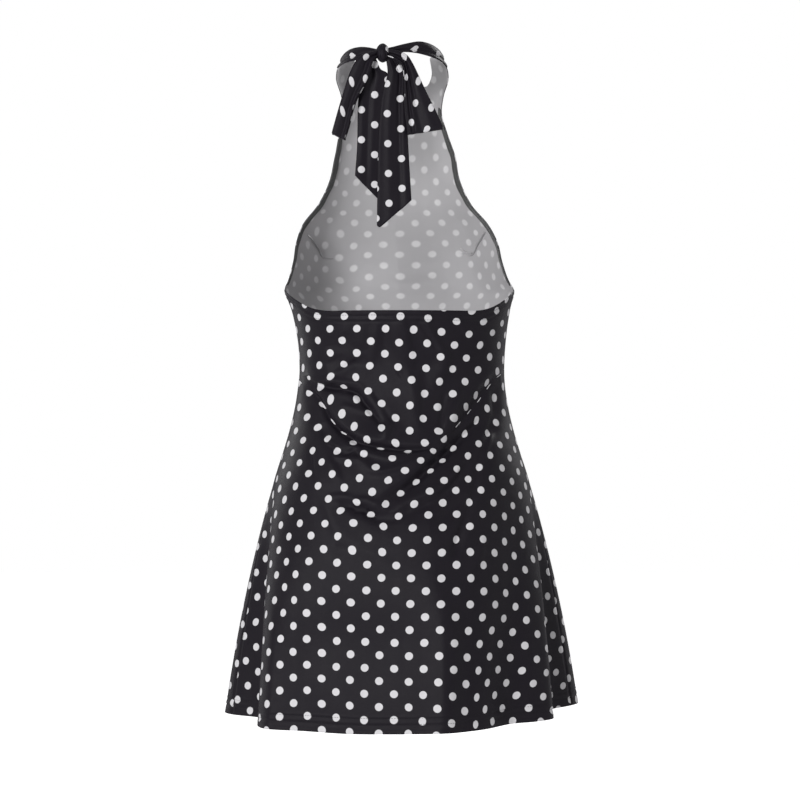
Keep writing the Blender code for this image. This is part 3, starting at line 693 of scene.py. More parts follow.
# Unevenness of their width. Columns: share of the width, turn from row to row, turn on the left.
BINDING_WAVES = ((0.05, 0.90, 0.0), (0.04, 0.37, 1.0))

# Grid of a panel: columns in the straight part of half a panel and in its fan, and rows for each stretch
PANEL_COLUMNS = (76, 26)
FRONT_ROWS = (36, 132, 44)
BACK_ROWS = (20, 136, 48)
HEM_ROWS = 20  # rows of the hem, closer together
HEM_ROWS_FROM = 2.91  # from this row down
SECTION_STEPS = 400  # steps of half a level section
HEM_STEPS = 40  # steps of the hem from each point of its plan to the next
PATTERN_STEP = 4  # the flat pattern is worked out at every fourth row and column
PATTERN_ROUNDS = 1500
PATTERN_SPEED = 0.92  # share of its speed that a point of the pattern keeps from one round to the next
PATTERN_PULL = 0.24  # and share of the pull of its uneven lengths that it takes up
# Shares of a strip's length and width at its rows and columns
STRIP_ALONG = np.linspace(0, 1, 110)[:, None]
STRIP_ACROSS = np.linspace(0, 1, 36)[None, :]
STRIP_STEPS = 16  # steps of a strip's route from each of its points to the next
LOOP_TURN_ROWS = 14  # round the lower edge of a loop

# Colours and surface of the cloth
BLACK_COOL = (0.0090, 0.0076, 0.0112, 1)
BLACK_WARM = (0.0118, 0.0098, 0.0132, 1)
DOT_WHITE = (0.62, 0.61, 0.63, 1)
INNER_GREY = (0.385, 0.378, 0.390, 1)
INNER_GREY_LIGHT = (0.460, 0.452, 0.465, 1)
INNER_DOT = (0.720, 0.715, 0.725, 1)
BINDING_DARK = (0.035, 0.036, 0.036, 1)
BINDING_LIGHT = (0.085, 0.085, 0.085, 1)
THREAD_DARK = (0.006, 0.006, 0.007, 1)
THREAD_LIGHT = (0.014, 0.014, 0.016, 1)
FLOOR_WHITE = (0.80, 0.80, 0.80, 1)
FLOOR_WHITER = (0.83, 0.83, 0.83, 1)

WALE_PITCH = 0.0007
COURSE_PITCH = 0.0009
COURSE_HEIGHT = 0.5  # as a share of the wales'
KNIT_DEPTH = 0.00006
KNIT_UNEVEN = 5.0  # unevenness of the knit, times the height of its wales
DOT_EDGE = 0.00022  # half the width of a dot's soft edge
INNER_DOT_EDGE = 0.0016  # and where it shows through on the inner side
DOT_WOBBLE = 0.0004
DOT_ROUGHER = 0.15
SHOWING_THROUGH = (0.7, 0.35)  # how unevenly and at least how much the dots show through
# How uneven the roughness is, and its least
OUTER_ROUGHNESS = (0.06, 0.34)
INNER_ROUGHNESS = (0.1, 0.72)
BINDING_ROUGHNESS = (0.1, 0.8)
# How fine the patches of the unevenness are
TONE_PATCHES = 26.0
GLOSS_PATCHES = 40.0
INNER_PATCHES = 18.0
THROUGH_PATCHES = 55.0
KNIT_PATCHES = 160.0
BINDING_PATCHES = 220.0
DOT_EDGE_PATCHES = 700.0
THREAD_PATCHES = 900.0
FLOOR_PATCHES = 3.0
EDGE_DULL = 0.62  # how much rougher the knit looks where it turns away
EDGE_DULL_POWER = 3.0

# Light and camera
FLOOR_LIFT = 0.90  # the floor glows this much where it is seen
SKY_LIGHT = 0.10  # the sky is white where it is seen, and lights the dress this much
MIDDLE = (-0.012, 0.0, -0.44)
# Columns: name, place, diameter, watts
LAMPS = (
    ("key", (1.50, 2.60, 0.15), 1.05, 78),
    ("fill", (-2.5, 1.9, 0.5), 1.5, 15),
    ("front_key", (-1.8, -2.2, 1.1), 1.0, 80),
    ("front_fill", (1.8, -2.2, 0.2), 1.4, 20),
)
CAMERA_PLACE = (-0.010, 2.5, -0.442)
PICTURE_WIDTH = 1.04  # at the neck loop, seen square from behind


def table_value(table, position):
    """The table's row at a position of its first column, on smooth curves that don't overshoot."""
    rows = np.array(sorted(table))
    at, values = rows[:, 0], rows[:, 1:]
    position = float(np.clip(position, at[0], at[-1]))
    index = int(np.clip(np.searchsorted(at, position) - 1, 0, len(at) - 2))
    steps = np.diff(at)[:, None]
    rises = np.diff(values, axis=0) / steps
    slopes = np.vstack([rises[:1], (rises[:-1] + rises[1:]) / 2, rises[-1:]])
    slopes[1:-1][rises[:-1] * rises[1:] <= 0] = 0
    step = steps[index, 0]
    part = (position - at[index]) / step
    square, cube = part * part, part * part * part
    return (
        (2 * cube - 3 * square + 1) * values[index]
        + (cube - 2 * square + part) * step * slopes[index]
        + (3 * square - 2 * cube) * values[index + 1]
        + (cube - square) * step * slopes[index + 1]
    )


def smooth_step(low, high, value):
    """0 at low, 1 at high and smooth between them."""
    part = np.clip((value - low) / (high - low), 0, 1)
    return part * part * (3 - 2 * part)


def along_line(points):
    """Distance of each point along the line through them."""
    return np.concatenate([[0], np.cumsum(np.linalg.norm(np.diff(points, axis=0), axis=1))])


def at_lengths(places, lengths, points):
    """The points at these places along a line, from its own points and their lengths along it."""
    return np.stack([np.interp(places, lengths, column) for column in points.T], axis=-1)


def at_shares(points, shares, held_back=0.0):
    """The points at these shares of a line's length, held back from the line's end."""
    lengths = along_line(points)
    return at_lengths(np.minimum(np.asarray(shares) * lengths[-1], lengths[-1] - held_back), lengths, points)


def rounded_line(points, steps):
    """A smooth curve through the points (Catmull-Rom), in this many steps from each point to the next."""
    points = np.asarray(points, float)
    ends = np.vstack([2 * points[0] - points[1], points, 2 * points[-1] - points[-2]])
    line = [points[0]]
    for before, start, stop, after in zip(ends, ends[1:], ends[2:], ends[3:]):
        for part in np.arange(1, steps + 1) / steps:
            line.append(
                (
                    2 * start
                    + (stop - before) * part
                    + (2 * before - 5 * start + 4 * stop - after) * part**2
                    + (3 * start - before - 3 * stop + after) * part**3
                )
                / 2
            )
    return np.array(line)


# Form of the panels, as in the CAD part


def bust_rise(out, height):
    """How far the bust stands out at these places."""
    sideways = (np.abs(out) - BUST_APEX_X) / BUST_SPREAD
    upright = (height - BUST_APEX_Z) / BUST_SPREAD
    return BUST_RISE * np.exp(-(sideways**2 + upright**2) / 2)


def level(panel, shares, height):
    """The panel's points at these shares of its width, at one height above the hip."""
    half_width, edge_y, middle_y, middle_x, roundness = table_value(FRONT_SECTIONS, height)
    if panel == "back":
        middle_y = table_value(BACK_MIDDLE, height)[0]
    out = half_width * np.sin(np.linspace(0, np.pi / 2, SECTION_STEPS))
    inward = np.clip(1 - (out / half_width) ** SECTION_POWER, 0, 1) ** roundness
    line = np.column_stack([out, edge_y + (middle_y - edge_y) * inward])
    out, y = at_shares(line, np.abs(shares), SEAM_GAP / 2).T
    if panel == "front":
        y = y - bust_rise(out, height) * (1 - smooth_step(*BUST_FADE, out / half_width))
    return np.column_stack([middle_x + np.sign(shares) * out, y, np.full(len(shares), height)])


def hem_lines():
    """Plan of the hem as {(panel, side): line from the middle to the side seam}."""
    lines = {}
    plan = np.array(HEM_PLAN)
    for side, columns in ((1, (0, 1)), (-1, (2, 3))):
        line = rounded_line(plan[:, columns], HEM_STEPS)
        seam = HEM_SEAM_ROW * HEM_STEPS
        lines["back", side] = line[: seam + 1]
        lines["front", side] = line[seam:][::-1]
    return lines


def hem_level(panel, shares, lines):
    """Plan of the hem at these shares of the panel's width."""
    plan = np.zeros((len(shares), 2))
    middle_x = FRONT_SECTIONS[-1][4]
    for side in (1, -1):
        here = shares < 0 if side < 0 else shares >= 0
        line = lines[panel, side]
        straight = STRAIGHT_HEM / along_line(line)[-1]
        places = np.interp(np.abs(shares[here]), [0, STRAIGHT_SHARE, 1], [0, straight, 1])
        plan[here] = at_shares(line, places, SEAM_GAP / 2) * (side, 1) + (middle_x, 0)
    return plan


def top_height(panel, shares):
    """Height of a panel's top edge: on the front, the neckline and the seams to the neck tie."""
    out = np.abs(shares)
    if panel == "back":
        rise = smooth_step(BACK_FLAT_SHARE, 1.0, out) ** BACK_TOP_CURVE
        return BACK_TOP + rise * (UNDERARM - BACK_TOP)
    rise = smooth_step(NECKLINE_FLAT_SHARE, NECKLINE_SIDE_SHARE, out)
    neckline = NECKLINE + rise * (TIE_SEAM_TOP - NECKLINE)
    tie_seam = np.interp(out, [TIE_SEAM_SHARE, 1], [TIE_SEAM_TOP, TIE_SEAM_FOOT])
    return np.where(out > TIE_SEAM_SHARE, tie_seam, neckline)


def panel_form(panel, shares, rows):
    """The panel's smooth form as rows x columns of points."""
    yoke = YOKE if panel == "front" else BACK_YOKE
    tops = top_height(panel, shares)
    hip = level(panel, shares, HIP)
    hem = hem_level(panel, shares, hem_lines())
    form = []
    for row in rows:
        if row > 2:
            drop = row - 2
            eased = drop + SKIRT_EASE * drop * (1 - drop)
            plan = (1 - eased) * hip[:, :2] + eased * hem
            x = plan[:, 0]
            height = HIP + drop * (HEM - HIP - HEM_TILT * x + HEM_CURVE * x * x)
            form.append(np.column_stack([plan, height]))
        elif row >= 1:
            form.append(level(panel, shares, yoke + (row - 1) * (HIP - yoke)))
        else:
            heights = tops + row * (yoke - tops)
            form.append(np.array([level(panel, share, z)[0] for share, z in zip(shares[:, None], heights)]))
    return np.array(form)


def eased_hip(form, rows):
    """Rounds the form's bend at the hip."""
    near = np.exp(-(((rows - 2) / HIP_BEND) ** 2))[1:-1, None, None]
    for _ in range(HIP_ROUNDS):
        form[1:-1] += near * ((form[:-2] + form[2:]) / 2 - form[1:-1]) / 2
    return form


def panel_rows(top_rows, body_rows, skirt_rows):
    """Rows of a panel's grid, from 0 at its top edge to 3 at its hem."""
    top = np.arange(top_rows) / top_rows
    body = 1 + np.arange(body_rows) / body_rows
    skirt = np.linspace(2, HEM_ROWS_FROM, skirt_rows, endpoint=False)
    return np.concatenate([top, body, skirt, np.linspace(HEM_ROWS_FROM, 3, HEM_ROWS + 1)])


def panel_shares(straight_columns, fan_columns):
    """Columns of a panel's grid, from -1 at the wearer's right edge to 1 at the left."""
    straight = STRAIGHT_SHARE * np.arange(straight_columns) / straight_columns
    half = np.concatenate([straight, np.linspace(STRAIGHT_SHARE, 1, fan_columns + 1)])
    return np.concatenate([-half[:0:-1], half])


def grid_normals(form, outside):
    """Unit normals of a grid of points, on the side that its middle turns towards outside."""
    normals = np.cross(np.gradient(form, axis=1), np.gradient(form, axis=0))
    normals /= np.maximum(np.linalg.norm(normals, axis=2, keepdims=True), 1e-12)
    middle = normals[len(normals) // 2, normals.shape[1] // 2]
    return normals if middle @ np.array(outside) > 0 else -normals


# Flat pattern


def flat_pattern(form):
    """The form laid flat as rows x columns of (across, down), its lengths kept as well as they can be.

    The middle column stays straight. Lengths are evened out along the rows, the columns and both diagonals.
    """
    middle = form.shape[1] // 2
    across = np.array([along_line(row) for row in form])
    across -= across[:, middle : middle + 1]
    down = np.broadcast_to(along_line(form[:, middle])[:, None], across.shape)
    flat = np.stack([across, down], axis=2)
    every, later, sooner = slice(None), slice(1, None), slice(None, -1)
    links = [
        ((every, later), (every, sooner)),
        ((later, every), (sooner, every)),
        ((later, later), (sooner, sooner)),
        ((later, sooner), (sooner, later)),
    ]
    lengths = [np.linalg.norm(form[one] - form[other], axis=2) for one, other in links]
    speed = np.zeros_like(flat)
    for _ in range(PATTERN_ROUNDS):
        pull = np.zeros_like(flat)
        for (one, other), length in zip(links, lengths):
            gap = flat[one] - flat[other]
            now = np.maximum(np.linalg.norm(gap, axis=2), 1e-9)
            step = ((length / now - 1) / 2)[..., None] * gap
            pull[one] += step
            pull[other] -= step
        speed = PATTERN_SPEED * speed + PATTERN_PULL * pull
        flat = flat + speed
        flat[:, middle, 0] = 0
    return flat


def filled_in(grid, kept, count):
    """A grid of this many rows, from its kept ones."""
    lines = [np.interp(np.arange(count), kept, line) for line in grid.reshape(len(kept), -1).T]
    return np.array(lines).T.reshape(count, *grid.shape[1:])


def spread_pattern(form):
    """The flat pattern of a fine grid, worked out on a coarser one and filled in between."""
    row_count, column_count = form.shape[:2]
    kept_rows = np.unique(np.append(np.arange(0, row_count, PATTERN_STEP), row_count - 1))
    middle = column_count // 2
    right = np.append(np.arange(middle, column_count, PATTERN_STEP), column_count - 1)
    kept_columns = np.unique(np.concatenate([2 * middle - right, right]))
    coarse = flat_pattern(form[np.ix_(kept_rows, kept_columns)])
    by_row = filled_in(coarse, kept_rows, row_count)
    return filled_in(by_row.swapaxes(0, 1), kept_columns, column_count).swapaxes(0, 1)


# Folds


def fold_route(form, normals, points):
    """A line on the form through these points. Columns: place, normal, the points' values, way along."""
    middle_x = FRONT_SECTIONS[-1][4]
    places, ways = form.reshape(-1, 3), normals.reshape(-1, 3)
    on_form = []
    for x, z, *values in rounded_line(points, FOLD_STEPS):
        nearest = np.argmin((places[:, 0] - middle_x - x) ** 2 + (places[:, 2] - z) ** 2)
        on_form.append([*places[nearest], *ways[nearest], *values])
    route = np.array(on_form)
    for _ in range(FOLD_ROUNDS):
        route[1:-1] = (route[:-2] + 2 * route[1:-1] + route[2:]) / 4
    ways = np.gradient(route[:, :3], axis=0)
    ways /= np.maximum(np.linalg.norm(ways, axis=1, keepdims=True), 1e-9)
    return np.hstack([route, ways])


def beside_route(points, route):
    """For each point, a fold route's values where it passes nearest, and the way from there."""
    best = np.full(len(points), np.inf)
    values = np.zeros((len(points), route.shape[1]))
    for start, stop in zip(route, route[1:]):
        step = stop[:3] - start[:3]
        part = np.clip((points - start[:3]) @ step / max(step @ step, 1e-15), 0, 1)[:, None]
        here = start + part * (stop - start)
        distance = np.linalg.norm(points - here[:, :3], axis=1)
        nearer = distance < best
        best[nearer] = distance[nearer]
        values[nearer] = here[nearer]
    return values, points - values[:, :3]


def upper_side(route, values):
    """The way up the cloth, or to the wearer's left for an upright route, at these places of a route."""
    run = route[-1, :3] - route[0, :3]
    run /= np.linalg.norm(run)
    # Round the figure's side the cloth faces along the run, and the route's own way there takes its place.
    turned = smooth_step(*SIDE_FACING, np.abs(values[:, 3:6] @ run))[:, None]
    upper = np.cross(values[:, 3:6], (1 - turned) * run + turned * values[:, -3:])
    upper /= np.linalg.norm(upper, axis=1, keepdims=True)
    return upper * np.sign(np.sign(upper[:, 0 if abs(run[2]) > abs(run[0]) else 2]).sum())


def moved_print(form, normals, breaks):
    """How far the print is moved on, across and down, by the cloth that these lines hide."""
    points = form.reshape(-1, 3)
    moved = np.zeros((len(points), 2))
    for far, fade, line in breaks:
        route = fold_route(form, normals, np.array(line) / 1000)
        values, away = beside_route(points, route)
        below = -(away * upper_side(route, values)).sum(1)
        distance = np.linalg.norm(away, axis=1)
        share = smooth_step(-1, 1, np.sign(below) * distance / values[:, 8])[:, None]
        settled = 1 - np.exp(-distance / (fade / 1000))[:, None]
        beyond = values[:, 6:8] + settled * (np.array(far) / 1000 - values[:, 6:8])
        moved = (1 - share) * moved + share * beyond
    return moved.reshape(*form.shape[:2], 2)


def stretched_print(form, table):
    """How far the print is moved, across and down, by the knit's uneven stretch."""
    heights = sorted(table)
    levels = np.array([table[height] for height in heights]) / 1000
    at = np.interp(form[..., 2], heights, np.arange(len(heights)))
    out = (EASE_OUT[0] - form[..., 0] + FRONT_SECTIONS[-1][4]) / (EASE_OUT[0] - EASE_OUT[1])
    row = np.clip(at.astype(int), 0, len(heights) - 2)
    column = np.clip(out.astype(int), 0, len(EASE_OUT) - 2)
    down = smooth_step(0, 1, at - row)[..., None]
    across = smooth_step(0, 1, out - column)[..., None]
    upper = (1 - across) * levels[row, column] + across * levels[row, column + 1]
    lower = (1 - across) * levels[row + 1, column] + across * levels[row + 1, column + 1]
    return (1 - down) * upper + down * lower


def soft_fold(kind, signed, height, width):
    """Rise of a ridge or trough and the cloth its slopes take up, at these distances up from its line."""
    distance = np.abs(signed)
    if kind == "ledge":
        signed = signed - np.sign(height) * STEEPEST * width
        width = np.where(signed * height < 0, width, GENTLE_SIDE * width)
    if kind == "right":
        width = np.where(signed < 0, width, GENTLE_SIDE * width)
    place = signed / width
    taken = SOFT_TAKE * height**2 / width * smooth_step(0, SOFT_TAKE_WIDTH, np.abs(place))
    return height * np.exp(-(place**2)), np.sign(signed) * np.minimum(taken, MOST_TAKEN * distance)


def lap_fold(signed, height, width):
    """Rise of a lap, its slide up the cloth and the cloth it hides, at these distances up from its line."""
    over, size = np.sign(height), np.abs(height)
    place = signed / width * over
    ridge, hollow = place - RIDGE_AT, place - HOLLOW_AT
    ridge = np.where(ridge > 0, ridge / GENTLE_SIDE, ridge)
    hollow = np.where(hollow < 0, hollow / GENTLE_SIDE, hollow)
    rise = np.exp(-RIDGE_FALL * ridge**2) - HOLLOW_DEPTH * np.exp(-HOLLOW_FALL * hollow**2)
    slide = -place * np.exp(0.5 - 2 * place**2) * LAP_SLIDE  # the greatest slide is at half the width
    return size * rise, over * size * slide, LAP_TAKE * size * np.tanh(LAP_TURN * signed / width)


def fold_cloth(form, normals, flat, folds):
    """Lays the folds into the form, and takes the cloth that they take up or hide out of the print."""
    points, ways = form.reshape(-1, 3), normals.reshape(-1, 3)
    moves = np.zeros_like(points)
    shift = np.zeros((len(points), 2))
    for kind, fold in folds.values():
        route = fold_route(form, normals, np.array(fold) / 1000)
        reach = FOLD_REACH * route[:, 7].max() + (3 * LAP_PRINT_REACH if kind == "lap" else 0)
        low, high = route[:, :3].min(0) - reach, route[:, :3].max(0) + reach
        near = np.flatnonzero(np.all((points > low) & (points < high), axis=1))
        values, away = beside_route(points[near], route)
        upper = upper_side(route, values)
        distance = np.linalg.norm(away, axis=1)
        signed = np.where((away * upper).sum(1) < 0, -distance, distance)
        height, width = (values[:, 6:8] * FULLNESS[kind]).T
        slide = np.zeros_like(height)
        if kind in ("lap", "roll"):
            rise, slide, taken = lap_fold(signed, height, width)
        else:
            rise, taken = soft_fold(kind, signed, height, width)
        moves[near] += ways[near] * rise[:, None] + upper * slide[:, None]
        if kind != "roll":
            taken = taken * np.exp(-distance / LAP_PRINT_REACH)
            shift[near] += taken[:, None] * upper[:, (0, 2)] * (1, -1)
    across = np.array([along_line(row) for row in form])
    calm = smooth_step(*SEAM_CALM, np.minimum(across, across[:, -1:] - across))[..., None]
    return form + moves.reshape(form.shape) * calm, flat + shift.reshape(flat.shape)


def hem_relief(form, normals, distance, stitch_rows, downwards):
    """A hem's thickness up to its last row of stitches, drawn in along each, the steep side facing down."""
    band = HEM_RISE * (1 - smooth_step(*HEM_RISE_END, distance - stitch_rows[-1]))
    for row in stitch_rows:
        below = (distance - row) * downwards
        let_out = smooth_step(GROOVE_STEEP, GROOVE_GENTLE, below)
        band = band - STITCH_GROOVE * smooth_step(-GROOVE_STEEP, GROOVE_STEEP, below) * (1 - let_out)
    return form + normals * band[..., None]


def edge_distance(form, from_hem):
    """Distance down the cloth of each point from the panel's top edge, or up from its hem."""
    steps = np.linalg.norm(np.diff(form, axis=0), axis=2)
    down = np.vstack([np.zeros((1, form.shape[1])), np.cumsum(steps, axis=0)])
    return down[-1] - down if from_hem else down


# Pieces


def placed(name, data):
    """A new object that is in the scene."""
    piece = bpy.data.objects.new(name, data)
    bpy.context.scene.collection.objects.link(piece)
    return piece


def cloth(name, form, prints, outside, wall, outer, inner):
    """A shell of cloth through a grid of points, thickened inwards, with the print's coordinates."""
    rows, columns = form.shape[:2]
    corner = np.arange(rows * columns).reshape(rows, columns)
    round_cell = [corner[:-1, :-1], corner[:-1, 1:], corner[1:, 1:], corner[1:, :-1]]
    faces = np.stack(round_cell, axis=2).reshape(-1, 4)
    if facing_away(form, outside):
        faces = faces[:, ::-1]
    mesh = bpy.data.meshes.new(name)
    mesh.from_pydata(form.reshape(-1, 3).tolist(), [], faces.tolist())
    layer = mesh.uv_layers.new(name="print")
    layer.data.foreach_set("uv", prints.reshape(-1, 2)[faces.ravel()].astype(np.float32).ravel())
    mesh.shade_smooth()
    mesh.materials.append(outer)
    mesh.materials.append(inner)
    piece = placed(name, mesh)
    solid = piece.modifiers.new("wall", "SOLIDIFY")
    solid.thickness = wall
    solid.offset = -1.0
    solid.material_offset = 1
    solid.material_offset_rim = 0
    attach(piece, "root")
    return piece


def facing_away(form, outside):
    """Whether the grid's faces, taken along its columns and then its rows, turn away from outside."""
    row, column = (len(form) - 1) // 2, (form.shape[1] - 1) // 2
    across = form[row, column + 1] - form[row, column]
    along = form[row + 1, column + 1] - form[row, column + 1]
    return np.cross(across, along) @ np.array(outside) < 0


def panel(name, rows, folds, outside):
    """A dress panel with its folds, turned hems and stitches. Returns its grid of points and its normals."""
    shares = panel_shares(*PANEL_COLUMNS)
    form = eased_hip(panel_form(name, shares, rows), rows)
    normals = grid_normals(form, outside)
    flat = spread_pattern(form)
    moved = moved_print(form, normals, PRINT_BREAKS[name]) + stretched_print(form, PRINT_EASE[name])
    form, prints = fold_cloth(form, normals, flat, folds)
    prints = prints + moved
    normals = grid_normals(form, outside)
    form = hem_relief(form, normals, edge_distance(form, True), HEM_STITCH_ROWS, -1)
    if name == "back":
        form = hem_relief(form, normals, edge_distance(form, False), BACK_STITCH_ROWS, 1)
    normals = grid_normals(form, outside)
    prints = prints + PANEL_PRINT_TILT[name] * prints[..., ::-1] * (-1, 1) - PANEL_PRINT_START[name]
    piece = cloth(f"{name}_cloth", form, prints, outside, WALL, OUTER_KNIT, INNER_KNIT)
    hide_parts(f"{name}_panel")
    hem = [thread_line(form, normals, row, True) for row in HEM_STITCH_ROWS]
    sewn = [
        turned_hem(f"{name}_hem_turning", form, normals, prints, HEM_TURNING, True, outside),
        stitches(f"{name}_hem_stitches", hem),
    ]
    if name == "front":
        sewn += [dart_fold(label, form, normals, points) for label, points in DARTS.items()]
    if name == "back":
        top = [thread_line(form, normals, row, False) for row in BACK_STITCH_ROWS]
        sewn.append(turned_hem("back_top_turning", form, normals, prints, TOP_TURNING, False, outside))
        sewn.append(stitches("back_top_stitches", top))
    return form, normals


def dart_fold(name, form, normals, points):
    """The cloth that a dart takes up: a narrow fold on the inner side that leans over, down to its tip."""
    route = fold_route(form, normals, points)
    place, way, height = route[:, None, :3], route[:, None, 3:6], route[:, None, 6:7]
    beside = np.cross(way, route[:, None, 7:])
    beside /= np.linalg.norm(beside, axis=2, keepdims=True)
    rise = np.linspace(0, 1, DART_ROWS)[None, :, None]
    grid = place - way * (WALL + DART_GAP) + height * rise * (DART_LEAN * rise * beside - way)
    prints = np.stack([-grid[..., 0], -grid[..., 2]], axis=2)
    outside = beside[len(beside) // 2, 0]
    return cloth(f"{name}_fold", grid, prints, outside, DART_WALL, INNER_KNIT, INNER_KNIT)


def strip(name, form, outside, wall):
    """A strip of the neck tie or the bow, as rows from the knot or seam and columns from its outer edge."""
    start = np.array(STRIP_PRINT_START[name])
    along = np.array([along_line(form[:, column]) for column in range(form.shape[1])]).T
    across = np.array([along_line(row) for row in form])
    prints = np.stack([along, across], axis=2)
    if name in TAIL_PRINT_TILT:
        down, out = TAIL_PRINT_FROM[1] - form[..., 2], form[..., 0] - TAIL_PRINT_FROM[0]
        prints = np.stack([down, out - TAIL_PRINT_TILT[name] * down], axis=2)
    prints = (prints + start) / STRIP_STRETCH
    piece = cloth(f"{name}_cloth", form, prints, outside, wall, BOW_KNIT, BOW_KNIT)
    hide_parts(name)
    return piece


def pleat_relief(name, along):
    """Height of a strip's lengthwise folds at these shares of its length, with its long edges rolled in."""
    across = STRIP_ACROSS
    relief = 0.0
    for place_near, place_far, height_near, height_far, width in PLEATS[name]:
        place = place_near + along * (place_far - place_near)
        height = height_near + along * (height_far - height_near)
        relief = relief + height * np.exp(-(((across - place) / width) ** 2))
    edge = np.minimum(across, 1 - across)
    return relief - EDGE_ROLL * np.exp(-((edge / EDGE_ROLL_WIDTH) ** 2))


def neck_ties():
    """The two halves of the neck tie, from their seams with the front to the knot."""
    seam_shares = np.linspace(TIE_SEAM_SHARE, 1, STRIP_ACROSS.size)
    off_seam = np.array([0, TIE_GAP, TIE_GAP])
    heights = top_height("front", seam_shares)
    for table, side, label in ((TIE_LEFT, 1, "left"), (TIE_RIGHT, -1, "right")):
        name = f"neck_tie_{label}"
        seam = [level("front", side * share, z)[0] for share, z in zip(seam_shares[:, None], heights)]
        seam = np.array(seam) + off_seam
        route = rounded_line([(*seam[0], *seam[-1]), *table], STRIP_STEPS)
        here = at_shares(route, STRIP_ALONG[:, 0])[:, None]
        on_seam = seam - seam[0] - STRIP_ACROSS.T * (seam[-1] - seam[0])
        form = here[..., :3] + STRIP_ACROSS[..., None] * (here[..., 3:] - here[..., :3])
        form += np.clip(1 - STRIP_ALONG / TIE_SEAM_LENGTH, 0, 1)[..., None] * on_seam[None]
        outside = (side, 1, 0)
        risen = smooth_step(0, TIE_PLEAT_ENDS[0], STRIP_ALONG)
        fallen = smooth_step(1, TIE_PLEAT_ENDS[1], STRIP_ALONG)
        relief = pleat_relief(name, STRIP_ALONG) * risen * fallen
        form += grid_normals(form, outside) * relief[..., None]
        strip(name, form, outside, TIE_WALL)


def hanging(edges, depth, raised):
    """A strip of the bow between its edges, given as x and z of the outer one and of the inner one."""
    outer_x, outer_z, inner_x, inner_z = edges
    x = outer_x + STRIP_ACROSS * (inner_x - outer_x)
    z = outer_z + STRIP_ACROSS * (inner_z - outer_z) + raised
    return np.stack(np.broadcast_arrays(x, depth, z), axis=2)


def bow_loops():
    """The bow's loops, each a strip that runs down, turns at its lower edge and comes back up."""
    for table, label in ((LOOP_LEFT, "left"), (LOOP_RIGHT, "right")):
        name = f"bow_loop_{label}"
        turned = 1 + np.linspace(0, 1, LOOP_TURN_ROWS)[1:-1, None]
        rows = np.concatenate([STRIP_ALONG, turned, 2 + STRIP_ALONG])
        place = np.minimum(np.minimum(rows, 1), 3 - rows)
        *edges, y, room = at_shares(rounded_line(table, STRIP_STEPS), place[:, 0]).T[:, :, None]
        turn = np.pi * np.clip(rows - 1, 0, 1)
        depth = y - room / 2 * (1 - np.cos(turn)) + pleat_relief(name, place)
        strip(name, hanging(edges, depth, -room / 2 * np.sin(turn)), (0, 0, -1), WALL)


def bow_tails():
    """The bow's tails, each with a slanted end."""
    for table, label in ((TAIL_LEFT, "left"), (TAIL_RIGHT, "right")):
        name = f"bow_tail_{label}"
        *edges, y = at_shares(rounded_line(table, STRIP_STEPS), STRIP_ALONG[:, 0]).T[:, :, None]
        depth = y + pleat_relief(name, STRIP_ALONG) * smooth_step(0, TAIL_PLEAT_START, STRIP_ALONG)
        tip = np.clip((STRIP_ACROSS - TIP_ACROSS) / TIP_WIDTH, 0, 1) ** 2
        tip = TIP_ROUNDING * tip * smooth_step(TIP_DOWN, 1, STRIP_ALONG)
        strip(name, hanging(edges, depth, tip), (0, 1, 0), TIE_WALL).visible_shadow = False


def bow_knot():
    """The knot: a short band of the tie wound round and pinched, with its creases running over it."""
    mesh = bpy.data.meshes.new("knot_cloth")
    knot = bmesh.new()
    bmesh.ops.create_uvsphere(knot, u_segments=96, v_segments=64, radius=1.0)
    for corner in knot.verts:
        way = corner.co.normalized()
        turn = np.arctan2(way.y, way.x)
        sunk = 0.0
        for crease_turn, slant, depth, width in KNOT_CREASES:
            off = (turn - crease_turn - slant * way.z + np.pi) % (2 * np.pi) - np.pi
            sunk += depth * np.exp(-((off / width) ** 2)) * (1 - way.z**4)
        fullness = 1 + KNOT_FULLNESS * (1 - way.z**2) - KNOT_PINCH * abs(way.x * way.z)
        sizes = Vector(KNOT_SIZE) / 2
        corner.co = Vector([way[axis] * (sizes[axis] * fullness - sunk) for axis in range(3)])
    layer = knot.loops.layers.uv.new("print")
    for face in knot.faces:
        for loop in face.loops:
            loop[layer].uv = (loop.vert.co.z + KNOT_PRINT_START[0], loop.vert.co.x + KNOT_PRINT_START[1])
    knot.to_mesh(mesh)
    knot.free()
    mesh.shade_smooth()
    mesh.materials.append(BOW_KNIT)
    piece = placed("knot_cloth", mesh)
    piece.location = KNOT_CENTRE
    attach(piece, "root")
    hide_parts("bow_knot")


def bindings(form, normals):
    """Turned-in bindings along the armholes, made from the front panel's own points moved in."""
    rows = np.flatnonzero((FRONT_GRID_ROWS > BINDING_ROWS[0]) & (FRONT_GRID_ROWS < BINDING_ROWS[1]))
    inside = form - normals * (WALL + BINDING_GAP)
    across = np.linspace(0, 1, BINDING_COLUMNS)
    for side, label in ((1, "left"), (-1, "right")):
        lines = []
        for row in rows:
            line = inside[row][::-1] if side > 0 else inside[row]
            wave = 1 + sum(share * np.sin(row * turn + side * apart) for share, turn, apart in BINDING_WAVES)
            lines.append(at_lengths(BINDING_EDGE + across * BINDING_WIDTH * wave, along_line(line), line))
        band = np.array(lines)
        prints = np.broadcast_arrays(across * BINDING_WIDTH, along_line(band[:, 0])[:, None])
        prints = np.stack(prints, axis=2)
        outside = (side, -1, 0)
        name = f"armhole_binding_{label}"
        piece = cloth(f"{name}_cloth", band, prints, outside, BINDING_WALL, BINDING, BINDING)
        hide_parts(name)


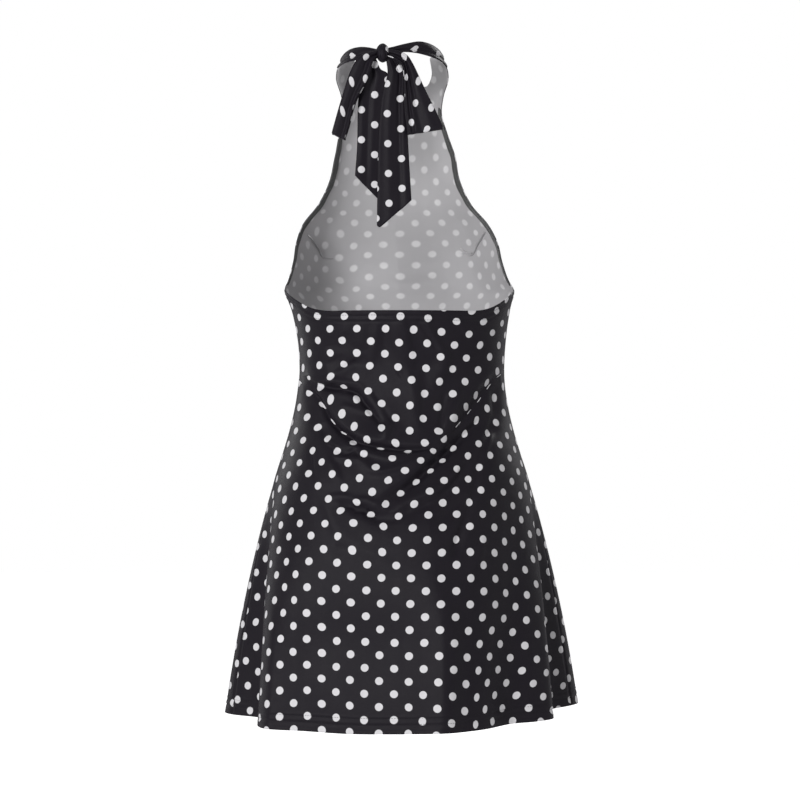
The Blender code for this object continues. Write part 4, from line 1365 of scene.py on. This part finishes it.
def turned_hem(name, form, normals, prints, width, from_hem, outside):
    """The cloth turned up inside a hem, as a strip moved in from the panel's own points."""
    distance = edge_distance(form, from_hem).mean(axis=1)
    rows = np.flatnonzero((distance > TURNED_FROM) & (distance < width))
    inside = form[rows] - normals[rows] * (WALL + TURNED_GAP)
    kept = slice(TURNED_SHORT, -TURNED_SHORT)
    piece = cloth(name, inside[:, kept], prints[rows][:, kept], outside, WALL, INNER_KNIT, INNER_KNIT)
    return piece


def thread_line(form, normals, distance, from_hem):
    """The line of a row of stitches at this distance from a panel's edge. Columns: place and normal."""
    order = slice(None, None, -1) if from_hem else slice(None)
    away = edge_distance(form, from_hem)[order].T
    columns = np.concatenate([form, normals], axis=2)[order].swapaxes(0, 1)
    return np.array([at_lengths(distance, lengths, column) for lengths, column in zip(away, columns)])


def stitch():
    """A single stitch: its points, tapering to both ends, and its faces."""
    turns = np.arange(STITCH_SIDES) * 2 * np.pi / STITCH_SIDES
    points = [(at, size * np.cos(turn), size * np.sin(turn)) for at, size in STITCH_RINGS for turn in turns]
    points = np.array([(-0.5, 0.0, 0.0), *points, (0.5, 0.0, 0.0)])
    tip = len(points) - 1
    last = tip - STITCH_SIDES
    faces = []
    for turn in range(STITCH_SIDES):
        after = (turn + 1) % STITCH_SIDES
        faces.append((0, 1 + after, 1 + turn))
        for ring in range(1, last, STITCH_SIDES):
            onward = ring + STITCH_SIDES
            faces.append((ring + turn, ring + after, onward + after, onward + turn))
        faces.append((tip, last + turn, last + after))
    return points * (STITCH_LENGTH, STITCH_RADIUS, STITCH_RADIUS), faces


def stitches(name, lines):
    """Rows of single stitches along these lines, as one mesh."""
    shape, faces = stitch()
    places = []
    for line in lines:
        lengths = along_line(line[:, :3])
        count = int(lengths[-1] / STITCH_PITCH)
        middles = (np.arange(count) + 0.5) * lengths[-1] / count
        at = at_lengths(middles, lengths, line)
        ahead = at_lengths(middles + STITCH_LOOK, lengths, line[:, :3])
        along = ahead - at_lengths(middles - STITCH_LOOK, lengths, line[:, :3])
        along /= np.linalg.norm(along, axis=1, keepdims=True)
        up = at[:, 3:] / np.linalg.norm(at[:, 3:], axis=1, keepdims=True)
        axes = np.stack([along, np.cross(along, up), up], axis=1)
        places.append(at[:, None, :3] + up[:, None] * STITCH_RADIUS / 2 + shape @ axes)
    points = np.concatenate(places).reshape(-1, 3)
    starts = range(0, len(points), len(shape))
    all_faces = [[start + corner for corner in face] for start in starts for face in faces]
    mesh = bpy.data.meshes.new(name)
    mesh.from_pydata(points.tolist(), [], all_faces)
    mesh.shade_smooth()
    mesh.materials.append(THREAD)
    piece = placed(name, mesh)
    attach(piece, "root")
    return piece


# Materials


def plug(tree, node, sockets):
    """Sets a node's sockets. Each takes a value or another node's output."""
    for name, value in sockets.items():
        if isinstance(value, bpy.types.NodeSocket):
            tree.links.new(value, node.inputs[name])
        else:
            node.inputs[name].default_value = value


def add(tree, kind, sockets=None, **settings):
    """A shader node with these sockets and settings."""
    node = tree.nodes.new("ShaderNode" + kind)
    for name, value in settings.items():
        setattr(node, name, value)
    plug(tree, node, sockets or {})
    return node


def maths(tree, operation, *values):
    return add(tree, "Math", dict(enumerate(values)), operation=operation).outputs[0]


def vector_maths(tree, operation, *values):
    node = add(tree, "VectorMath", dict(enumerate(values)), operation=operation)
    return node.outputs["Value" if operation == "LENGTH" else "Vector"]


def mixed(tree, factor, one, other):
    """A mix of two colours, which are a Mix node's inputs 6 and 7 and its output 2."""
    node = add(tree, "Mix", {0: factor, 6: one, 7: other}, data_type="RGBA")
    return node.outputs[2]


def noise(tree, place, scale, detail=3.0):
    return add(tree, "TexNoise", {"Vector": place, "Scale": scale, "Detail": detail}).outputs["Fac"]


def dots(tree, place, radius, softness):
    """1 on the print's dots and 0 between them, with the slightly uneven edge that a knit gives."""
    pitch = (DOT_PITCH_ACROSS, DOT_PITCH_DOWN, 1.0)
    share = vector_maths(tree, "DIVIDE", place, pitch)
    distances = []
    for start in ((0.0, 0.0, 0.0), (0.5, 0.5, 0.0)):
        cell = vector_maths(tree, "FRACTION", vector_maths(tree, "ADD", share, start))
        off = vector_maths(tree, "MULTIPLY", vector_maths(tree, "SUBTRACT", cell, (0.5, 0.5, 0.0)), pitch)
        flat = vector_maths(tree, "MULTIPLY", off, (1.0, 1.0, 0.0))
        distances.append(vector_maths(tree, "LENGTH", flat))
    nearest = maths(tree, "MINIMUM", *distances)
    wobble = maths(tree, "MULTIPLY_ADD", noise(tree, place, DOT_EDGE_PATCHES), DOT_WOBBLE, -DOT_WOBBLE / 2)
    edge = maths(tree, "ADD", nearest, wobble)
    sockets = {"Value": edge, "From Min": radius + softness, "From Max": radius - softness}
    return add(tree, "MapRange", sockets, interpolation_type="SMOOTHSTEP").outputs["Result"]


def knit_height(tree, place):
    """Height of the knit's fine wales and courses."""
    apart = add(tree, "SeparateXYZ", {"Vector": place})
    wales = maths(tree, "SINE", maths(tree, "MULTIPLY", apart.outputs["X"], 2 * np.pi / WALE_PITCH))
    courses = maths(tree, "SINE", maths(tree, "MULTIPLY", apart.outputs["Y"], 2 * np.pi / COURSE_PITCH))
    return maths(tree, "ADD", wales, maths(tree, "MULTIPLY", courses, COURSE_HEIGHT))


def new_material(name):
    """A material with its node tree and its Principled shader."""
    material = bpy.data.materials.new(name)
    material.use_nodes = True
    return material, material.node_tree, material.node_tree.nodes["Principled BSDF"]


def cloth_material(name):
    """A new material for cloth, and the print's coordinates."""
    material, tree, shader = new_material(name)
    plug(tree, shader, {"Metallic": 0.0, "IOR": 1.45, "Sheen Roughness": 0.45})
    return material, tree, shader, add(tree, "UVMap", uv_map="print").outputs["UV"]


def knit_bump(tree, place, strength):
    """Normals of the knit and its unevenness."""
    uneven = maths(tree, "MULTIPLY", noise(tree, place, KNIT_PATCHES), KNIT_UNEVEN)
    height = maths(tree, "ADD", knit_height(tree, place), uneven)
    sockets = {"Height": height, "Strength": strength, "Distance": KNIT_DEPTH}
    return add(tree, "Bump", sockets).outputs["Normal"]


def outer_knit(name, dot_radius):
    """Black knit with a soft sheen, printed with white dots."""
    material, tree, shader, place = cloth_material(name)
    dotted = dots(tree, place, dot_radius, DOT_EDGE)
    ground = mixed(tree, noise(tree, place, TONE_PATCHES), BLACK_COOL, BLACK_WARM)
    rough = maths(tree, "MULTIPLY_ADD", noise(tree, place, GLOSS_PATCHES), *OUTER_ROUGHNESS)
    rough = maths(tree, "MULTIPLY_ADD", dotted, DOT_ROUGHER, rough)
    # The stitches hide each other's gloss where the cloth turns away.
    edge = maths(tree, "POWER", add(tree, "LayerWeight").outputs["Facing"], EDGE_DULL_POWER)
    sockets = {
        "Base Color": mixed(tree, dotted, ground, DOT_WHITE),
        "Roughness": maths(tree, "MULTIPLY_ADD", edge, EDGE_DULL, rough),
        "Specular IOR Level": 0.075,
        "Sheen Weight": 0.006,
        "Normal": knit_bump(tree, place, 0.5),
    }
    plug(tree, shader, sockets)
    return material


def inner_knit():
    """The unprinted inner face: grey, with the dots showing through, paler and blurred."""
    material, tree, shader, place = cloth_material("inner_knit")
    through = dots(tree, place, DOT_RADIUS, INNER_DOT_EDGE)
    uneven = maths(tree, "MULTIPLY_ADD", noise(tree, place, THROUGH_PATCHES), *SHOWING_THROUGH)
    strength = maths(tree, "MINIMUM", maths(tree, "MULTIPLY", through, uneven), 1.0)
    ground = mixed(tree, noise(tree, place, INNER_PATCHES), INNER_GREY, INNER_GREY_LIGHT)
    sockets = {
        "Base Color": mixed(tree, strength, ground, INNER_DOT),
        "Roughness": maths(tree, "MULTIPLY_ADD", noise(tree, place, GLOSS_PATCHES), *INNER_ROUGHNESS),
        "Specular IOR Level": 0.20,
        "Sheen Weight": 0.05,
        "Normal": knit_bump(tree, place, 0.6),
    }
    plug(tree, shader, sockets)
    return material


def binding_material():
    """Dull charcoal binding, fuzzy and uneven."""
    material, tree, shader, place = cloth_material("armhole_trim")
    uneven = noise(tree, place, BINDING_PATCHES, 5.0)
    sockets = {
        "Base Color": mixed(tree, uneven, BINDING_DARK, BINDING_LIGHT),
        "Roughness": maths(tree, "MULTIPLY_ADD", uneven, *BINDING_ROUGHNESS),
        "Specular IOR Level": 0.15,
        "Sheen Weight": 0.25,
        "Normal": knit_bump(tree, place, 1.0),
    }
    plug(tree, shader, sockets)
    return material


def thread_material():
    """Black sewing thread."""
    material, tree, shader = new_material("thread")
    place = add(tree, "TexCoord").outputs["Object"]
    colour = mixed(tree, noise(tree, place, THREAD_PATCHES), THREAD_DARK, THREAD_LIGHT)
    plug(tree, shader, {"Base Color": colour, "Roughness": 0.6, "Specular IOR Level": 0.05})
    return material


OUTER_KNIT = outer_knit("black_dotted_knit", DOT_RADIUS)
BOW_KNIT = outer_knit("black_dotted_knit_bow", BOW_DOT_RADIUS)
INNER_KNIT = inner_knit()
BINDING = binding_material()
THREAD = thread_material()

# The dress
FORWARD = (0, -1, 0)
BACKWARD = (0, 1, 0)
FRONT_GRID_ROWS = panel_rows(*FRONT_ROWS)
BACK_GRID_ROWS = panel_rows(*BACK_ROWS)

panel("back", BACK_GRID_ROWS, BACK_FOLDS, BACKWARD)
front_form, front_normals = panel("front", FRONT_GRID_ROWS, FRONT_FOLDS, FORWARD)
bindings(front_form, front_normals)
neck_ties()
bow_knot()
bow_loops()
bow_tails()


# Floor, light and camera


def floor():
    """A pale floor that keeps the shadow and meets the white background."""
    mesh = bpy.data.meshes.new("floor")
    corners = [(x, y, FLOOR) for x in (-FLOOR_REACH, FLOOR_REACH) for y in (-FLOOR_REACH, FLOOR_REACH)]
    mesh.from_pydata(corners, [], [(0, 2, 3, 1)])
    material, tree, shader = new_material("floor")
    place = add(tree, "TexCoord").outputs["Object"]
    colour = mixed(tree, noise(tree, place, FLOOR_PATCHES), FLOOR_WHITE, FLOOR_WHITER)
    plug(tree, shader, {"Base Color": colour, "Roughness": 0.9, "Specular IOR Level": 0.1})
    glow = add(tree, "Emission", {"Strength": maths(tree, "MULTIPLY", seen_directly(tree), FLOOR_LIFT)})
    both = add(tree, "AddShader", {0: shader.outputs[0], 1: glow.outputs[0]})
    plug(tree, tree.nodes["Material Output"], {"Surface": both.outputs[0]})
    mesh.materials.append(material)
    placed("floor", mesh)


def seen_directly(tree):
    """1 for camera, glossy and transmission rays."""
    path = add(tree, "LightPath")
    rays = maths(tree, "MAXIMUM", path.outputs["Is Camera Ray"], path.outputs["Is Glossy Ray"])
    return maths(tree, "MAXIMUM", rays, path.outputs["Is Transmission Ray"])


def sky():
    """A white background that lights the dress only a little."""
    world = bpy.data.worlds.new("studio")
    bpy.context.scene.world = world
    world.use_nodes = True
    tree = world.node_tree
    strength = maths(tree, "MULTIPLY_ADD", seen_directly(tree), 1.0 - SKY_LIGHT, SKY_LIGHT)
    plug(tree, tree.nodes["Background"], {"Color": (1, 1, 1, 1), "Strength": strength})


def lamp(name, place, aim, size, power):
    """A round soft lamp."""
    light = bpy.data.lights.new(name, "AREA")
    light.shape = "DISK"
    light.size = size
    light.energy = power
    piece = placed(name, light)
    piece.location = place
    piece.rotation_euler = (Vector(aim) - Vector(place)).to_track_quat("-Z", "Y").to_euler()


floor()
sky()
for lamp_name, lamp_place, lamp_size, lamp_power in LAMPS:
    lamp(lamp_name, lamp_place, MIDDLE, lamp_size, lamp_power)

camera = bpy.data.cameras.new("camera")
camera.lens = camera.sensor_width * CAMERA_PLACE[1] / PICTURE_WIDTH
viewer = placed("camera", camera)
viewer.location = CAMERA_PLACE
viewer.rotation_euler = (np.pi / 2, 0, np.pi)
bpy.context.scene.camera = viewer
bpy.context.scene.view_settings.view_transform = "Standard"
